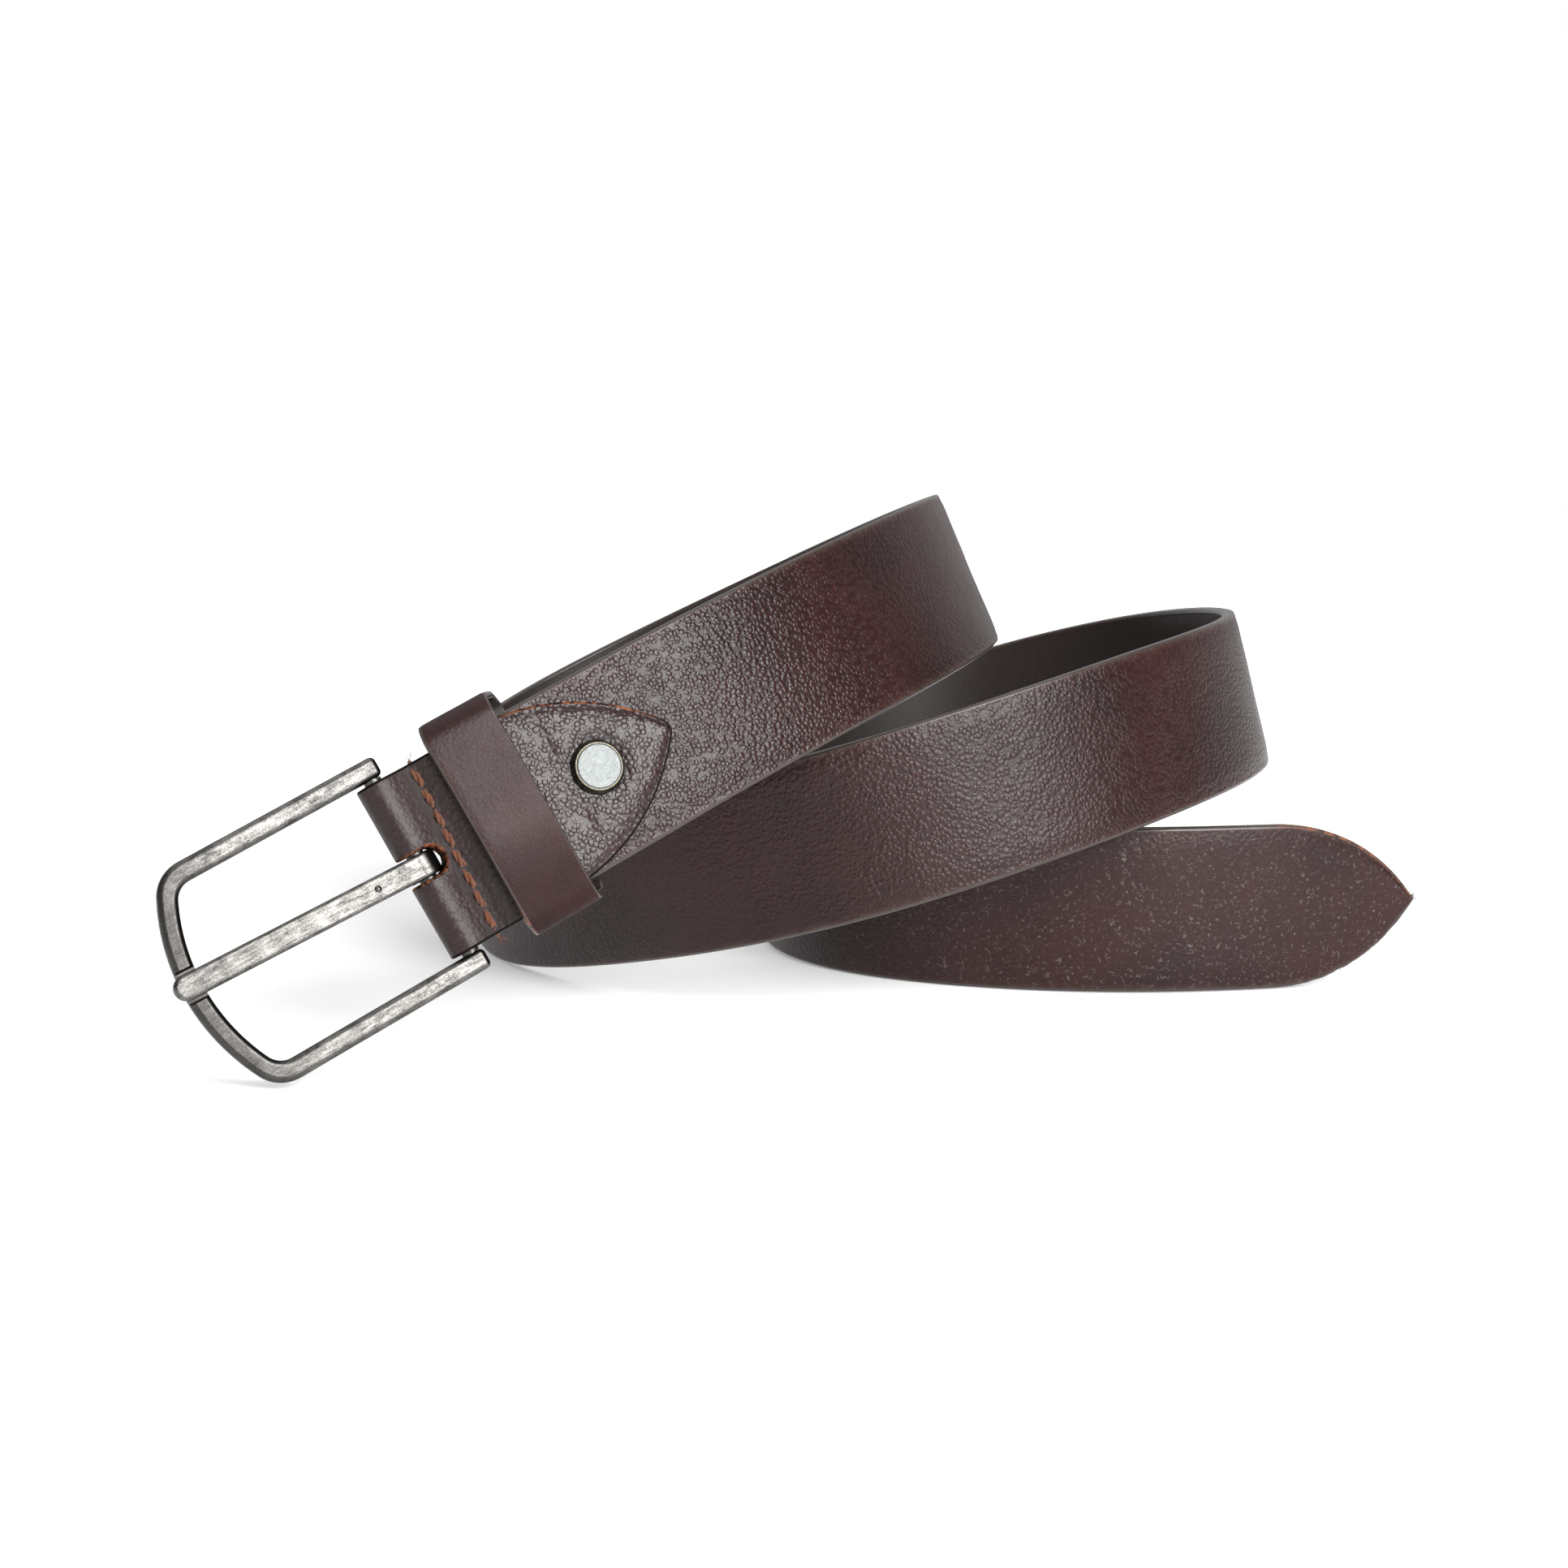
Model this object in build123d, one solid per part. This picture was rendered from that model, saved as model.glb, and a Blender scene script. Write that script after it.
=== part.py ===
from build123d import *
import math
import os

import numpy as np

# A man's leather belt, coiled twice and standing on the lower edge of its strap.
# Millimetres, +Z up. The origin is under the middle of the whole belt, on the floor.

# ---- driving dimensions -------------------------------------------------------------

STRAP_WIDTH = 35.0
STRAP_THICKNESS = 3.4
EDGE_BEVEL = 0.6
ARCH_LENGTH = 34.0          # both pointed ends are cut with the same gothic arch
HOLE_DIAMETER = 5.0
HOLE_PITCH = 25.0
HOLE_COUNT = 5
FIRST_HOLE = 125.0          # from the tip, along the strap

# Stations on the strap's centre line, evenly spaced from the tip to the start of the
# straight run: x, y, z, and the lean of the strap's upper edge outwards, in degrees.
STATIONS = [
    (124, -7, 17.4, 0),
    (61, -23, 17.4, 0),
    (0, 1, 17.4, 5),
    (-18, 60, 22, 11),
    (20, 107, 40, 3),
    (76, 90, 57, -13),
    (93, 27, 61, -14),
    (63, -30, 55, -12),
    (4, -51, 38, -2),
    (-52, -28, 23, 18),
    (-86, 26, 17, 22),
    (-84, 89, 31, 17),
    (-36, 117, 57, -5),
    (14, 86, 81, -19),
    (28, 24, 88, -23),
    (11, -38, 82, -26),
]
SAMPLES_PER_SPAN = 6
RUN_SAMPLES = 6
END_PULL = 1.03             # the curve's slope where the straight run starts, in span lengths

# The buckle's bar, at the end of the straight run: its middle, and how the strap gets to it.
BAR_POINT = (-78, -98, 37)
BAR_HEADING = -155.0        # the run's direction in plan, from +X
BAR_SLOPE = -26.0           # the run goes down to the buckle
BAR_LEAN = -15.0
STRAIGHT_RUN = 52.0

# The buckle end is drawn in the bar's own frame:
# x forward to the buckle's nose, y out of the strap's grain side, z across the strap.
STRAP_END = -12.4           # the strap is cut square behind the bar
BAR_RADIUS = 1.7
TENON_RADIUS = 1.1
TENON_LENGTH = 2.6
HINGE_GAP = 0.08

CUT_DEPTH = 6.0             # cutters reach this far to each side of the leather's middle
CUT_MARGIN = 3.0

CHAPE_LEATHER = 1.8
CHAPE_EDGE = 1.3            # the flaps are skived thinner towards their points
CHAPE_NOSE = -54.5
NOSE_RADIUS = 2.5
FLAP_GAP = 0.1
PINCH_X = -6.4              # the seam that closes the fold behind the bar
PINCH_GAP = 0.1
RAMP_X = -12.0
SLOT_WIDTH = 5.4
SLOT_END = -3.9
SLOT_REACH = 10.0

THREAD_RADIUS = 0.5
STITCH_COUNT = 8
STITCH_PITCH = 4.1
STITCH_LENGTH = 3.0
STITCH_CORNER = 0.7
THREAD_SINK = 0.4           # share of the thread's radius that is sunk in the leather
SEAM_SLANT = 0.055          # the seam runs a little askew: x lost per mm up the strap

RIVET_X = -37.3
WASHER_RADIUS = 5.15
WASHER_TOP_RADIUS = 4.5
WASHER_HEIGHT = 1.3
WASHER_RIM = 0.3
HEAD_RADIUS = 4.2
HEAD_THICKNESS = 1.1
HEAD_PROUD = 0.15
HEAD_EASE = 0.2
BARREL_RADIUS = 2.0
BARREL_SHORT = 0.4          # the barrel stops this far inside the back flap
SCREW_RADIUS = 1.3
SCREW_HEAD_RADIUS = 4.5
SCREW_HEAD_HEIGHT = 1.2
SCREW_HEAD_EASE = 0.35
SCREW_SLOT = 0.8
SCREW_SHORT = 0.5           # the screw stops this far behind the front flap's face
METAL_GAP = 0.05

KEEPER_FRONT = -10.9
KEEPER_LENGTH = 14.5
KEEPER_LEATHER = 1.6
KEEPER_INNER_HALF = 20.4
KEEPER_RISE = 0.5           # the keeper hangs a little above the strap's middle
KEEPER_INNER_FRONT = 3.9
KEEPER_INNER_BACK = -7.9
KEEPER_CORNER = 2.6
SEAM_GAP = 0.3
KEEPER_SKEW = 0.40          # the loop's back lags behind its front: x lost per mm of depth
STAPLE_SPAN = 9.0
STAPLE_WIRE = 0.8
STAPLE_LEG = 1.4
STAPLE_BEND = 0.25

FRAME_HALF_WIDTH = 22.0
FRAME_INNER_HALF = 18.1
FRAME_NOSE = 48.2
FRAME_INNER_NOSE = 44.4
FRAME_BOW_RADIUS = 40.0
FRAME_INNER_BOW = 37.0
FRAME_CORNER = 7.0
FRAME_INNER_CORNER = 4.0
FRAME_THICKNESS = 3.5
FRAME_ROUND = 1.1
ARM_END = -2.2
REST_NOTCH_DEPTH = 0.7
REST_NOTCH_WIDTH = 6.4
REST_NOTCH_ROUND = 0.5

PRONG_WIDTH = 4.6
PRONG_THICKNESS = 2.2
PRONG_NOSE = 49.6
PRONG_RING = 3.3
PRONG_ROUND = 0.7
RING_ROUND = 0.65
RING_SPLIT = 0.5            # the ring is bent round the bar and does not quite close
RING_SPLIT_ANGLE = 205.0
PRONG_SKEW = 2.2            # degrees: the shank lies a little to one side in its notch
BUMP_X = 9.5
BUMP_RADIUS = 0.7
BUMP_SINK = 0.25

FACE_ON = Plane(origin=(0, 0, 0), x_dir=(1, 0, 0), z_dir=(0, 1, 0))     # the buckle end's face


# ---- the coiled centre line ---------------------------------------------------------

def run_direction():
    """Unit vector along the straight run, towards the buckle."""
    heading = math.radians(BAR_HEADING)
    slope = math.radians(BAR_SLOPE)
    level = math.cos(slope)
    return np.array([level * math.cos(heading), level * math.sin(heading), math.sin(slope)])


def smooth_slopes(points, end_slope):
    """Slopes of a curve with even curvature through evenly spaced points: free at the first
    point, and held to end_slope at the last."""
    count = len(points)
    matrix = np.zeros((count, count))
    right = np.zeros_like(points)
    matrix[0, :2] = (2, 1)
    right[0] = 3 * (points[1] - points[0])
    for i in range(1, count - 1):
        matrix[i, i - 1:i + 2] = (1, 4, 1)
        right[i] = 3 * (points[i + 1] - points[i - 1])
    matrix[-1, -1] = 1
    right[-1] = end_slope
    return np.linalg.solve(matrix, right)


def centre_line():
    """Points, directions and leans along the strap, from the tip to its square end."""
    direction = run_direction()
    run_start = np.array(BAR_POINT, float) - STRAIGHT_RUN * direction
    knots = np.vstack([np.array(STATIONS, float), [*run_start, BAR_LEAN]])
    last_span = np.linalg.norm(knots[-1, :3] - knots[-2, :3])
    slopes = smooth_slopes(knots, np.array([*(direction * last_span * END_PULL), 0.0]))
    rows = []
    for i in range(len(knots) - 1):
        for f in np.arange(SAMPLES_PER_SPAN) / SAMPLES_PER_SPAN:
            value = ((2 * f**3 - 3 * f**2 + 1) * knots[i] + (f**3 - 2 * f**2 + f) * slopes[i]
                     + (3 * f**2 - 2 * f**3) * knots[i + 1] + (f**3 - f**2) * slopes[i + 1])
            slope = ((6 * f**2 - 6 * f) * (knots[i] - knots[i + 1])
                     + (3 * f**2 - 4 * f + 1) * slopes[i] + (3 * f**2 - 2 * f) * slopes[i + 1])
            rows.append((value[:3], slope[:3] / np.linalg.norm(slope[:3]), value[3]))
    run_length = STRAIGHT_RUN + STRAP_END
    for f in np.linspace(0, 1, RUN_SAMPLES):
        rows.append((run_start + direction * run_length * f, direction, BAR_LEAN))
    return rows


def across_and_out(direction, lean):
    """The strap's upward and outward unit vectors, from its direction and its lean."""
    upright = np.array([0.0, 0.0, 1.0]) - direction * direction[2]
    upright /= np.linalg.norm(upright)
    sideways = np.cross(upright, direction)
    angle = math.radians(lean)
    across = math.cos(angle) * upright + math.sin(angle) * sideways
    return across, np.cross(across, direction)


def strap_plane(point, direction, lean):
    """A plane with x along the strap, y across it and z out of its grain side."""
    across, outward = across_and_out(direction, lean)
    return Plane(origin=Vector(*point), x_dir=Vector(*(-direction)), z_dir=Vector(*outward))


def bar_location():
    """Where the buckle end's own frame stands: x forward, y out, z across."""
    direction = run_direction()
    across, _ = across_and_out(direction, BAR_LEAN)
    return Location(Plane(origin=Vector(*BAR_POINT), x_dir=Vector(*direction), z_dir=Vector(*across)))


def point_along(rows, distance):
    """The sample of the centre line nearest to a distance from the tip."""
    travelled = 0.0
    for i in range(1, len(rows)):
        step = np.linalg.norm(rows[i][0] - rows[i - 1][0])
        if travelled + step >= distance:
            f = (distance - travelled) / step
            return tuple(rows[i - 1][k] * (1 - f) + rows[i][k] * f for k in range(3))
        travelled += step
    return rows[-1]


# ---- shared shapes ------------------------------------------------------------------

def gothic_arch(nose_radius=0.0):
    """The flat outline of a pointed strap end: its point at the origin, its sides along +x."""
    half = STRAP_WIDTH / 2
    radius = (ARCH_LENGTH**2 + half**2) / (2 * half)
    bow = ARCH_LENGTH / 2
    side = half - radius + math.sqrt(radius**2 - (ARCH_LENGTH - bow)**2)
    upper = ThreePointArc((0, 0), (bow, side), (ARCH_LENGTH, half))
    lower = ThreePointArc((0, 0), (bow, -side), (ARCH_LENGTH, -half))
    back = Line((ARCH_LENGTH, half), (ARCH_LENGTH, -half))
    face = make_face([upper, back, lower])
    if nose_radius:
        nose = face.vertices().sort_by(Axis.X)[0]
        face = fillet(nose, nose_radius)
    return face


def point_cutter(nose_radius=0.0):
    """What is cut away beside a pointed end, through any thickness of leather."""
    blank = Pos(-CUT_MARGIN, 0) * Rectangle(ARCH_LENGTH + CUT_MARGIN, STRAP_WIDTH + 2 * CUT_MARGIN,
                                            align=(Align.MIN, Align.CENTER))
    return extrude(blank - gothic_arch(nose_radius), amount=CUT_DEPTH, both=True)


def rod(radius, start, end):
    """A round bar between two points."""
    start = Vector(*start)
    end = Vector(*end)
    length = (end - start).length
    return Plane(origin=start, z_dir=end - start) * Cylinder(
        radius, length, align=(Align.CENTER, Align.CENTER, Align.MIN))


def rivet_bore():
    """The hole through the stack of leather for the rivet's barrel."""
    return rod(BARREL_RADIUS + METAL_GAP, (RIVET_X, -CUT_DEPTH, 0), (RIVET_X, CUT_DEPTH, 0))


# ---- the strap ----------------------------------------------------------------------

def strap():
    """One ribbon of leather: eight ruled faces between rails, pointed tip, five holes."""
    rows = centre_line()
    half_width = STRAP_WIDTH / 2
    half_thick = STRAP_THICKNESS / 2
    bevel = EDGE_BEVEL
    corners = [
        (half_thick, half_width - bevel), (half_thick - bevel, half_width),
        (bevel - half_thick, half_width), (-half_thick, half_width - bevel),
        (-half_thick, bevel - half_width), (bevel - half_thick, -half_width),
        (half_thick - bevel, -half_width), (half_thick, bevel - half_width),
    ]
    rails = []
    for out, up in corners:
        rail = []
        for point, direction, lean in rows:
            across, outward = across_and_out(direction, lean)
            rail.append(Vector(*(point + out * outward + up * across)))
        rails.append(rail)
    edges = [Spline(*rail) for rail in rails]
    faces = [Face.make_surface_from_curves(edges[i], edges[(i + 1) % 8]) for i in range(8)]
    for end in (0, -1):
        faces.append(Face(Wire.make_polygon([rail[end] for rail in rails], close=True)))
    ribbon = Solid(Shell(faces))

    tip_point, tip_direction, tip_lean = rows[0]
    tip = strap_plane(tip_point, -tip_direction, tip_lean)
    ribbon = ribbon - tip * point_cutter()
    for i in range(HOLE_COUNT):
        place = strap_plane(*point_along(rows, FIRST_HOLE + i * HOLE_PITCH))
        ribbon = ribbon - place * Cylinder(HOLE_DIAMETER / 2, 3 * STRAP_THICKNESS)
    reach = 4 * np.linalg.norm(tip_point)
    below_floor = Box(reach, reach, STRAP_WIDTH, align=(Align.CENTER, Align.CENTER, Align.MAX))
    return ribbon - bar_location() * rivet_bore() - below_floor


# ---- the chape: the folded leather that holds the bar ---------------------------------

def flap_curves(side, inside):
    """The line of one flap from the fold to its point, on the inner or the outer surface."""
    half_strap = STRAP_THICKNESS / 2 + FLAP_GAP
    radius = BAR_RADIUS + HINGE_GAP
    if inside:
        fold, pinch, flat, tip = radius, PINCH_GAP, half_strap, half_strap
    else:
        fold = radius + CHAPE_LEATHER
        pinch = PINCH_GAP + CHAPE_LEATHER
        flat = half_strap + CHAPE_LEATHER
        tip = half_strap + CHAPE_EDGE
    ramp = Spline((0, side * fold), (PINCH_X, side * pinch), (RAMP_X, side * flat),
                  tangents=[(-1, 0), (-1, 0)])
    face = Line((RAMP_X, side * flat), (CHAPE_NOSE, side * tip))
    return [ramp, face]


def chape():
    """The folded strip, its two pointed flaps, the prong's slot and the rivet's hole."""
    inner = BAR_RADIUS + HINGE_GAP
    outer = inner + CHAPE_LEATHER
    lines = [ThreePointArc((0, outer), (outer, 0), (0, -outer)),
             ThreePointArc((0, inner), (inner, 0), (0, -inner))]
    for side in (1, -1):
        lines += flap_curves(side, inside=False) + flap_curves(side, inside=True)
        half_strap = side * (STRAP_THICKNESS / 2 + FLAP_GAP)
        lines.append(Line((CHAPE_NOSE, half_strap), (CHAPE_NOSE, half_strap + side * CHAPE_EDGE)))
    profile = make_face(lines)
    folded = extrude(profile, amount=STRAP_WIDTH / 2, both=True)

    folded = folded - FACE_ON * (Pos(CHAPE_NOSE, 0, 0) * point_cutter(NOSE_RADIUS))
    slot_round = Pos(SLOT_END + SLOT_WIDTH / 2, 0) * Circle(SLOT_WIDTH / 2)
    slot_open = Pos(SLOT_END + SLOT_WIDTH / 2 + SLOT_REACH / 2, 0) * Rectangle(SLOT_REACH, SLOT_WIDTH)
    folded = folded - FACE_ON * extrude(slot_round + slot_open, amount=CUT_DEPTH, both=True)
    folded = folded - rivet_bore()
    for stitch in stitches():
        folded = folded - stitch
    return folded


def stitches():
    """The seam behind the bar: separate loops of thread through both layers of the fold."""
    reach = PINCH_GAP + CHAPE_LEATHER + THREAD_RADIUS * (1 - THREAD_SINK)
    loops = []
    for i in range(STITCH_COUNT):
        middle = (i - (STITCH_COUNT - 1) / 2) * STITCH_PITCH
        place = Plane(origin=(PINCH_X - SEAM_SLANT * middle, 0, middle), x_dir=(0, 0, 1), z_dir=(1, 0, 0))
        path = (place * RectangleRounded(STITCH_LENGTH, 2 * reach, STITCH_CORNER)).wire()
        section = Plane(origin=path @ 0, z_dir=path % 0) * Circle(THREAD_RADIUS)
        loops.append(sweep(section, path=path))
    return loops


# ---- the rivet ------------------------------------------------------------------------

def stack_face():
    """How far the leather's face stands out from the strap's middle, at the rivet's rim."""
    share = (RIVET_X + WASHER_RADIUS - RAMP_X) / (CHAPE_NOSE - RAMP_X)
    leather = CHAPE_LEATHER + (CHAPE_EDGE - CHAPE_LEATHER) * share
    return STRAP_THICKNESS / 2 + FLAP_GAP + leather + METAL_GAP


def turned(points):
    """A turned piece on the rivet's axis, from (radius, height along y) points."""
    outline = make_face(Polyline(*points, close=True))
    return Pos(RIVET_X, 0, 0) * revolve(outline, axis=Axis.Y)


def head_seat():
    """The height of the washer's recess, where the post's head sits."""
    return stack_face() + WASHER_HEIGHT - HEAD_THICKNESS + HEAD_PROUD


def rivet_washer():
    """The ring that frames the rivet's head, with a sloping rim."""
    base = stack_face()
    top = base + WASHER_HEIGHT
    seat = head_seat()
    recess = HEAD_RADIUS + METAL_GAP
    return turned([(BARREL_RADIUS + METAL_GAP, base), (WASHER_RADIUS, base), (WASHER_RADIUS, base + WASHER_RIM),
                   (WASHER_TOP_RADIUS, top), (recess, top), (recess, seat),
                   (BARREL_RADIUS + METAL_GAP, seat)])


def rivet_post():
    """The flat head that shows, and the barrel that goes through the stack."""
    seat = head_seat() + METAL_GAP
    crown = seat + HEAD_THICKNESS
    foot = BARREL_SHORT - stack_face()
    bore = SCREW_RADIUS + METAL_GAP
    return turned([(0, seat), (bore, seat), (bore, foot), (BARREL_RADIUS, foot), (BARREL_RADIUS, seat),
                   (HEAD_RADIUS, seat), (HEAD_RADIUS, crown - HEAD_EASE),
                   (HEAD_RADIUS - HEAD_EASE, crown), (0, crown)])


def rivet_screw():
    """The slotted screw that closes the stack from the inner side."""
    seat = -stack_face()
    crown = seat - SCREW_HEAD_HEIGHT
    end = stack_face() - SCREW_SHORT
    body = turned([(0, end), (SCREW_RADIUS, end), (SCREW_RADIUS, seat), (SCREW_HEAD_RADIUS, seat),
                   (SCREW_HEAD_RADIUS, crown + SCREW_HEAD_EASE),
                   (SCREW_HEAD_RADIUS - SCREW_HEAD_EASE, crown), (0, crown)])
    return body - Pos(RIVET_X, crown, 0) * Box(3 * SCREW_HEAD_RADIUS, SCREW_HEAD_HEIGHT, SCREW_SLOT)


# ---- the keeper -----------------------------------------------------------------------

def keeper_ring(grow):
    """The keeper's outline round the strap, a given way out from its inner face."""
    height = 2 * (KEEPER_INNER_HALF + grow)
    depth = KEEPER_INNER_FRONT - KEEPER_INNER_BACK + 2 * grow
    middle = (KEEPER_INNER_FRONT + KEEPER_INNER_BACK) / 2
    return Pos(middle, 0) * RectangleRounded(depth, height, KEEPER_CORNER + grow)


def keeper_back():
    """The middle of the keeper's back, which lags behind its front, on the outer face."""
    depth = KEEPER_INNER_FRONT - KEEPER_INNER_BACK
    return Pos(KEEPER_FRONT - KEEPER_LENGTH / 2 - KEEPER_SKEW * depth,
               KEEPER_INNER_BACK - KEEPER_LEATHER, KEEPER_RISE)


def staple():
    """A wire staple over the keeper's butt seam, its legs sunk in the leather."""
    wire = STAPLE_WIRE / 2
    crown = Pos(0, -wire, 0) * Box(STAPLE_WIRE, STAPLE_WIRE, STAPLE_SPAN)
    for end in (1, -1):
        leg = Pos(0, -STAPLE_WIRE, end * (STAPLE_SPAN / 2 - wire)) * Box(
            STAPLE_WIRE, STAPLE_LEG + STAPLE_WIRE, STAPLE_WIRE, align=(Align.CENTER, Align.MIN, Align.CENTER))
        crown = crown + leg
    return keeper_back() * fillet(crown.edges().filter_by(Axis.Z).sort_by(Axis.Y)[:2], STAPLE_BEND)


def keeper():
    """A strip of leather bent into a loop, with a butt seam on the inner side."""
    ring = Plane.YZ * (Pos(0, KEEPER_RISE) * (keeper_ring(KEEPER_LEATHER) - keeper_ring(0)))
    loop = extrude(ring, amount=-4 * KEEPER_LENGTH)
    front = KEEPER_INNER_FRONT + CUT_MARGIN
    back = KEEPER_INNER_BACK - CUT_MARGIN
    lead = KEEPER_FRONT + KEEPER_SKEW * CUT_MARGIN
    lag = lead - KEEPER_SKEW * (front - back)
    slab = make_face(Polyline((lead, front), (lag, back), (lag - KEEPER_LENGTH, back),
                              (lead - KEEPER_LENGTH, front), close=True))
    loop = loop & extrude(slab, amount=STRAP_WIDTH, both=True)
    seam = keeper_back() * Box(4 * KEEPER_LENGTH, 2 * KEEPER_LEATHER + CUT_MARGIN, SEAM_GAP)
    return loop - seam - staple()


# ---- the buckle -----------------------------------------------------------------------

def bowed_outline(half, nose, bow, corner):
    """A U outline with a bowed front and rounded corners, open side at the arm ends."""
    shoulder = nose - bow + math.sqrt(bow**2 - half**2)
    outline = make_face([
        Line((ARM_END, -half), (shoulder, -half)),
        ThreePointArc((shoulder, -half), (nose, 0), (shoulder, half)),
        Line((shoulder, half), (ARM_END, half)),
        Line((ARM_END, half), (ARM_END, -half)),
    ])
    corners = outline.vertices().sort_by(Axis.X)[2:]
    return fillet(corners, corner)


def buckle_frame():
    """The cast frame: two arms and a bowed front, with a rest for the prong."""
    outer = bowed_outline(FRAME_HALF_WIDTH, FRAME_NOSE, FRAME_BOW_RADIUS, FRAME_CORNER)
    inner = bowed_outline(FRAME_INNER_HALF, FRAME_INNER_NOSE, FRAME_INNER_BOW, FRAME_INNER_CORNER)
    frame = FACE_ON * extrude(outer - inner, amount=FRAME_THICKNESS / 2, both=True)
    frame = fillet(frame.edges(), FRAME_ROUND)
    notch = Pos(FRAME_NOSE, FRAME_THICKNESS / 2 - REST_NOTCH_DEPTH, 0) * Box(
        4 * CUT_MARGIN, CUT_DEPTH, REST_NOTCH_WIDTH, align=(Align.CENTER, Align.MIN, Align.CENTER))
    notch = fillet(notch.edges().filter_by(Axis.X).sort_by(Axis.Y)[:2], REST_NOTCH_ROUND)
    frame = frame - Rot(0, -PRONG_SKEW, 0) * notch
    for side in (1, -1):
        inside = side * FRAME_INNER_HALF
        frame = frame - rod(TENON_RADIUS, (0, 0, inside - side), (0, 0, inside + side * TENON_LENGTH))
    return frame


def heel_bar():
    """The bar the strap is folded round, with a tenon in each arm."""
    body = rod(BAR_RADIUS, (0, 0, METAL_GAP - FRAME_INNER_HALF), (0, 0, FRAME_INNER_HALF - METAL_GAP))
    reach = FRAME_INNER_HALF + TENON_LENGTH
    return body + rod(TENON_RADIUS, (0, 0, -reach), (0, 0, reach))


def prong():
    """A ring on the bar and a straight shank that rests in the frame's notch."""
    underside = FRAME_THICKNESS / 2 - REST_NOTCH_DEPTH + METAL_GAP
    tip = PRONG_NOSE - PRONG_WIDTH / 2
    blank = Pos(tip / 2, 0) * Rectangle(tip, PRONG_WIDTH) + Pos(tip, 0) * Circle(PRONG_WIDTH / 2)
    shank = Pos(0, underside, 0) * (FACE_ON * extrude(blank, amount=PRONG_THICKNESS))
    shank = fillet(shank.edges().group_by(Axis.Y)[-1], PRONG_ROUND)
    bump = Pos(BUMP_X, underside + PRONG_THICKNESS - BUMP_SINK, 0) * Sphere(BUMP_RADIUS)
    ring = rod(PRONG_RING, (0, 0, -PRONG_WIDTH / 2), (0, 0, PRONG_WIDTH / 2))
    ring = fillet(ring.edges(), RING_ROUND)
    bore = rod(BAR_RADIUS + HINGE_GAP, (0, 0, -PRONG_WIDTH), (0, 0, PRONG_WIDTH))
    split = Rot(0, 0, RING_SPLIT_ANGLE) * Pos(PRONG_RING, 0, 0) * Box(PRONG_RING, RING_SPLIT, 2 * PRONG_WIDTH)
    return Rot(0, -PRONG_SKEW, 0) * (shank + bump) + ring - bore - split


# ---- the files --------------------------------------------------------------------------

def main():
    """Build every node and write one STEP file for each."""
    place = bar_location()
    nodes = {
        "strap": strap(),
        "chape": place * chape(),
        "chape_stitches": place * Compound(children=stitches()),
        "rivet_washer": place * rivet_washer(),
        "rivet_post": place * rivet_post(),
        "rivet_screw": place * rivet_screw(),
        "keeper_loop": place * keeper(),
        "keeper_staple": place * staple(),
        "buckle_frame": place * buckle_frame(),
        "heel_bar": place * heel_bar(),
        "prong": place * prong(),
    }
    os.makedirs("parts", exist_ok=True)
    for name, shape in nodes.items():
        export_step(shape, f"parts/{name}.step")


main()
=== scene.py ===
import math
import random

import bpy
import numpy as np
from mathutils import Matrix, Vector, noise


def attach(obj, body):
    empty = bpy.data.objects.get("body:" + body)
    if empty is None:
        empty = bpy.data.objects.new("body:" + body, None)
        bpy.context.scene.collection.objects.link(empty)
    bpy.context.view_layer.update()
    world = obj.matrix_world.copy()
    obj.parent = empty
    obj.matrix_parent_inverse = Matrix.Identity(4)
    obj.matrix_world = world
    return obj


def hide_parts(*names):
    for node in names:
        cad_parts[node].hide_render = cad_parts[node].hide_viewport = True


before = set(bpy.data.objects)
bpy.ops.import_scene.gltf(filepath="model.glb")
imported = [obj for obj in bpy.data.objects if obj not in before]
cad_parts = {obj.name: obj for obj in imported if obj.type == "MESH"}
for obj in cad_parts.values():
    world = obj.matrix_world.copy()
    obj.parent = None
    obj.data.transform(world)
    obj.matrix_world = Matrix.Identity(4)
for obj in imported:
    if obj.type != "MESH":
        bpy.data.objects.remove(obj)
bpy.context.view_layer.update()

# A coiled leather belt. Lengths in this file are in millimetres until MM scales them.
MM = 0.001
random.seed(11)

# ---- the strap's line, as in the part's source -----------------------------------------

STRAP_WIDTH = 35.0
STRAP_THICKNESS = 3.4
STRAP_RIM = 0.7             # how far the rounded edge stands out from the flat faces
ARCH_LENGTH = 34.0
HOLE_RADIUS = 2.5
HOLE_PITCH = 25.0
HOLE_COUNT = 5
FIRST_HOLE = 125.0

# x, y, z and the lean of the strap's upper edge outwards, in degrees, from the tip on
STATIONS = [
    (124, -7, 17.4, 0),
    (61, -23, 17.4, 0),
    (0, 1, 17.4, 5),
    (-18, 60, 22, 11),
    (20, 107, 40, 3),
    (76, 90, 57, -13),
    (93, 27, 61, -14),
    (63, -30, 55, -12),
    (4, -51, 38, -2),
    (-52, -28, 23, 18),
    (-86, 26, 17, 22),
    (-84, 89, 31, 17),
    (-36, 117, 57, -5),
    (14, 86, 81, -19),
    (28, 24, 88, -23),
    (11, -38, 82, -26),
]
SAMPLES_PER_SPAN = 60
END_PULL = 1.03

BAR_POINT = (-78, -98, 37)
BAR_HEADING = -155.0
BAR_SLOPE = -26.0
BAR_LEAN = -15.0
STRAIGHT_RUN = 52.0
STRAP_END = -12.4

# ---- the buckle end, in the bar's frame: x to the nose, y out of the grain side, z across ---

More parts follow.
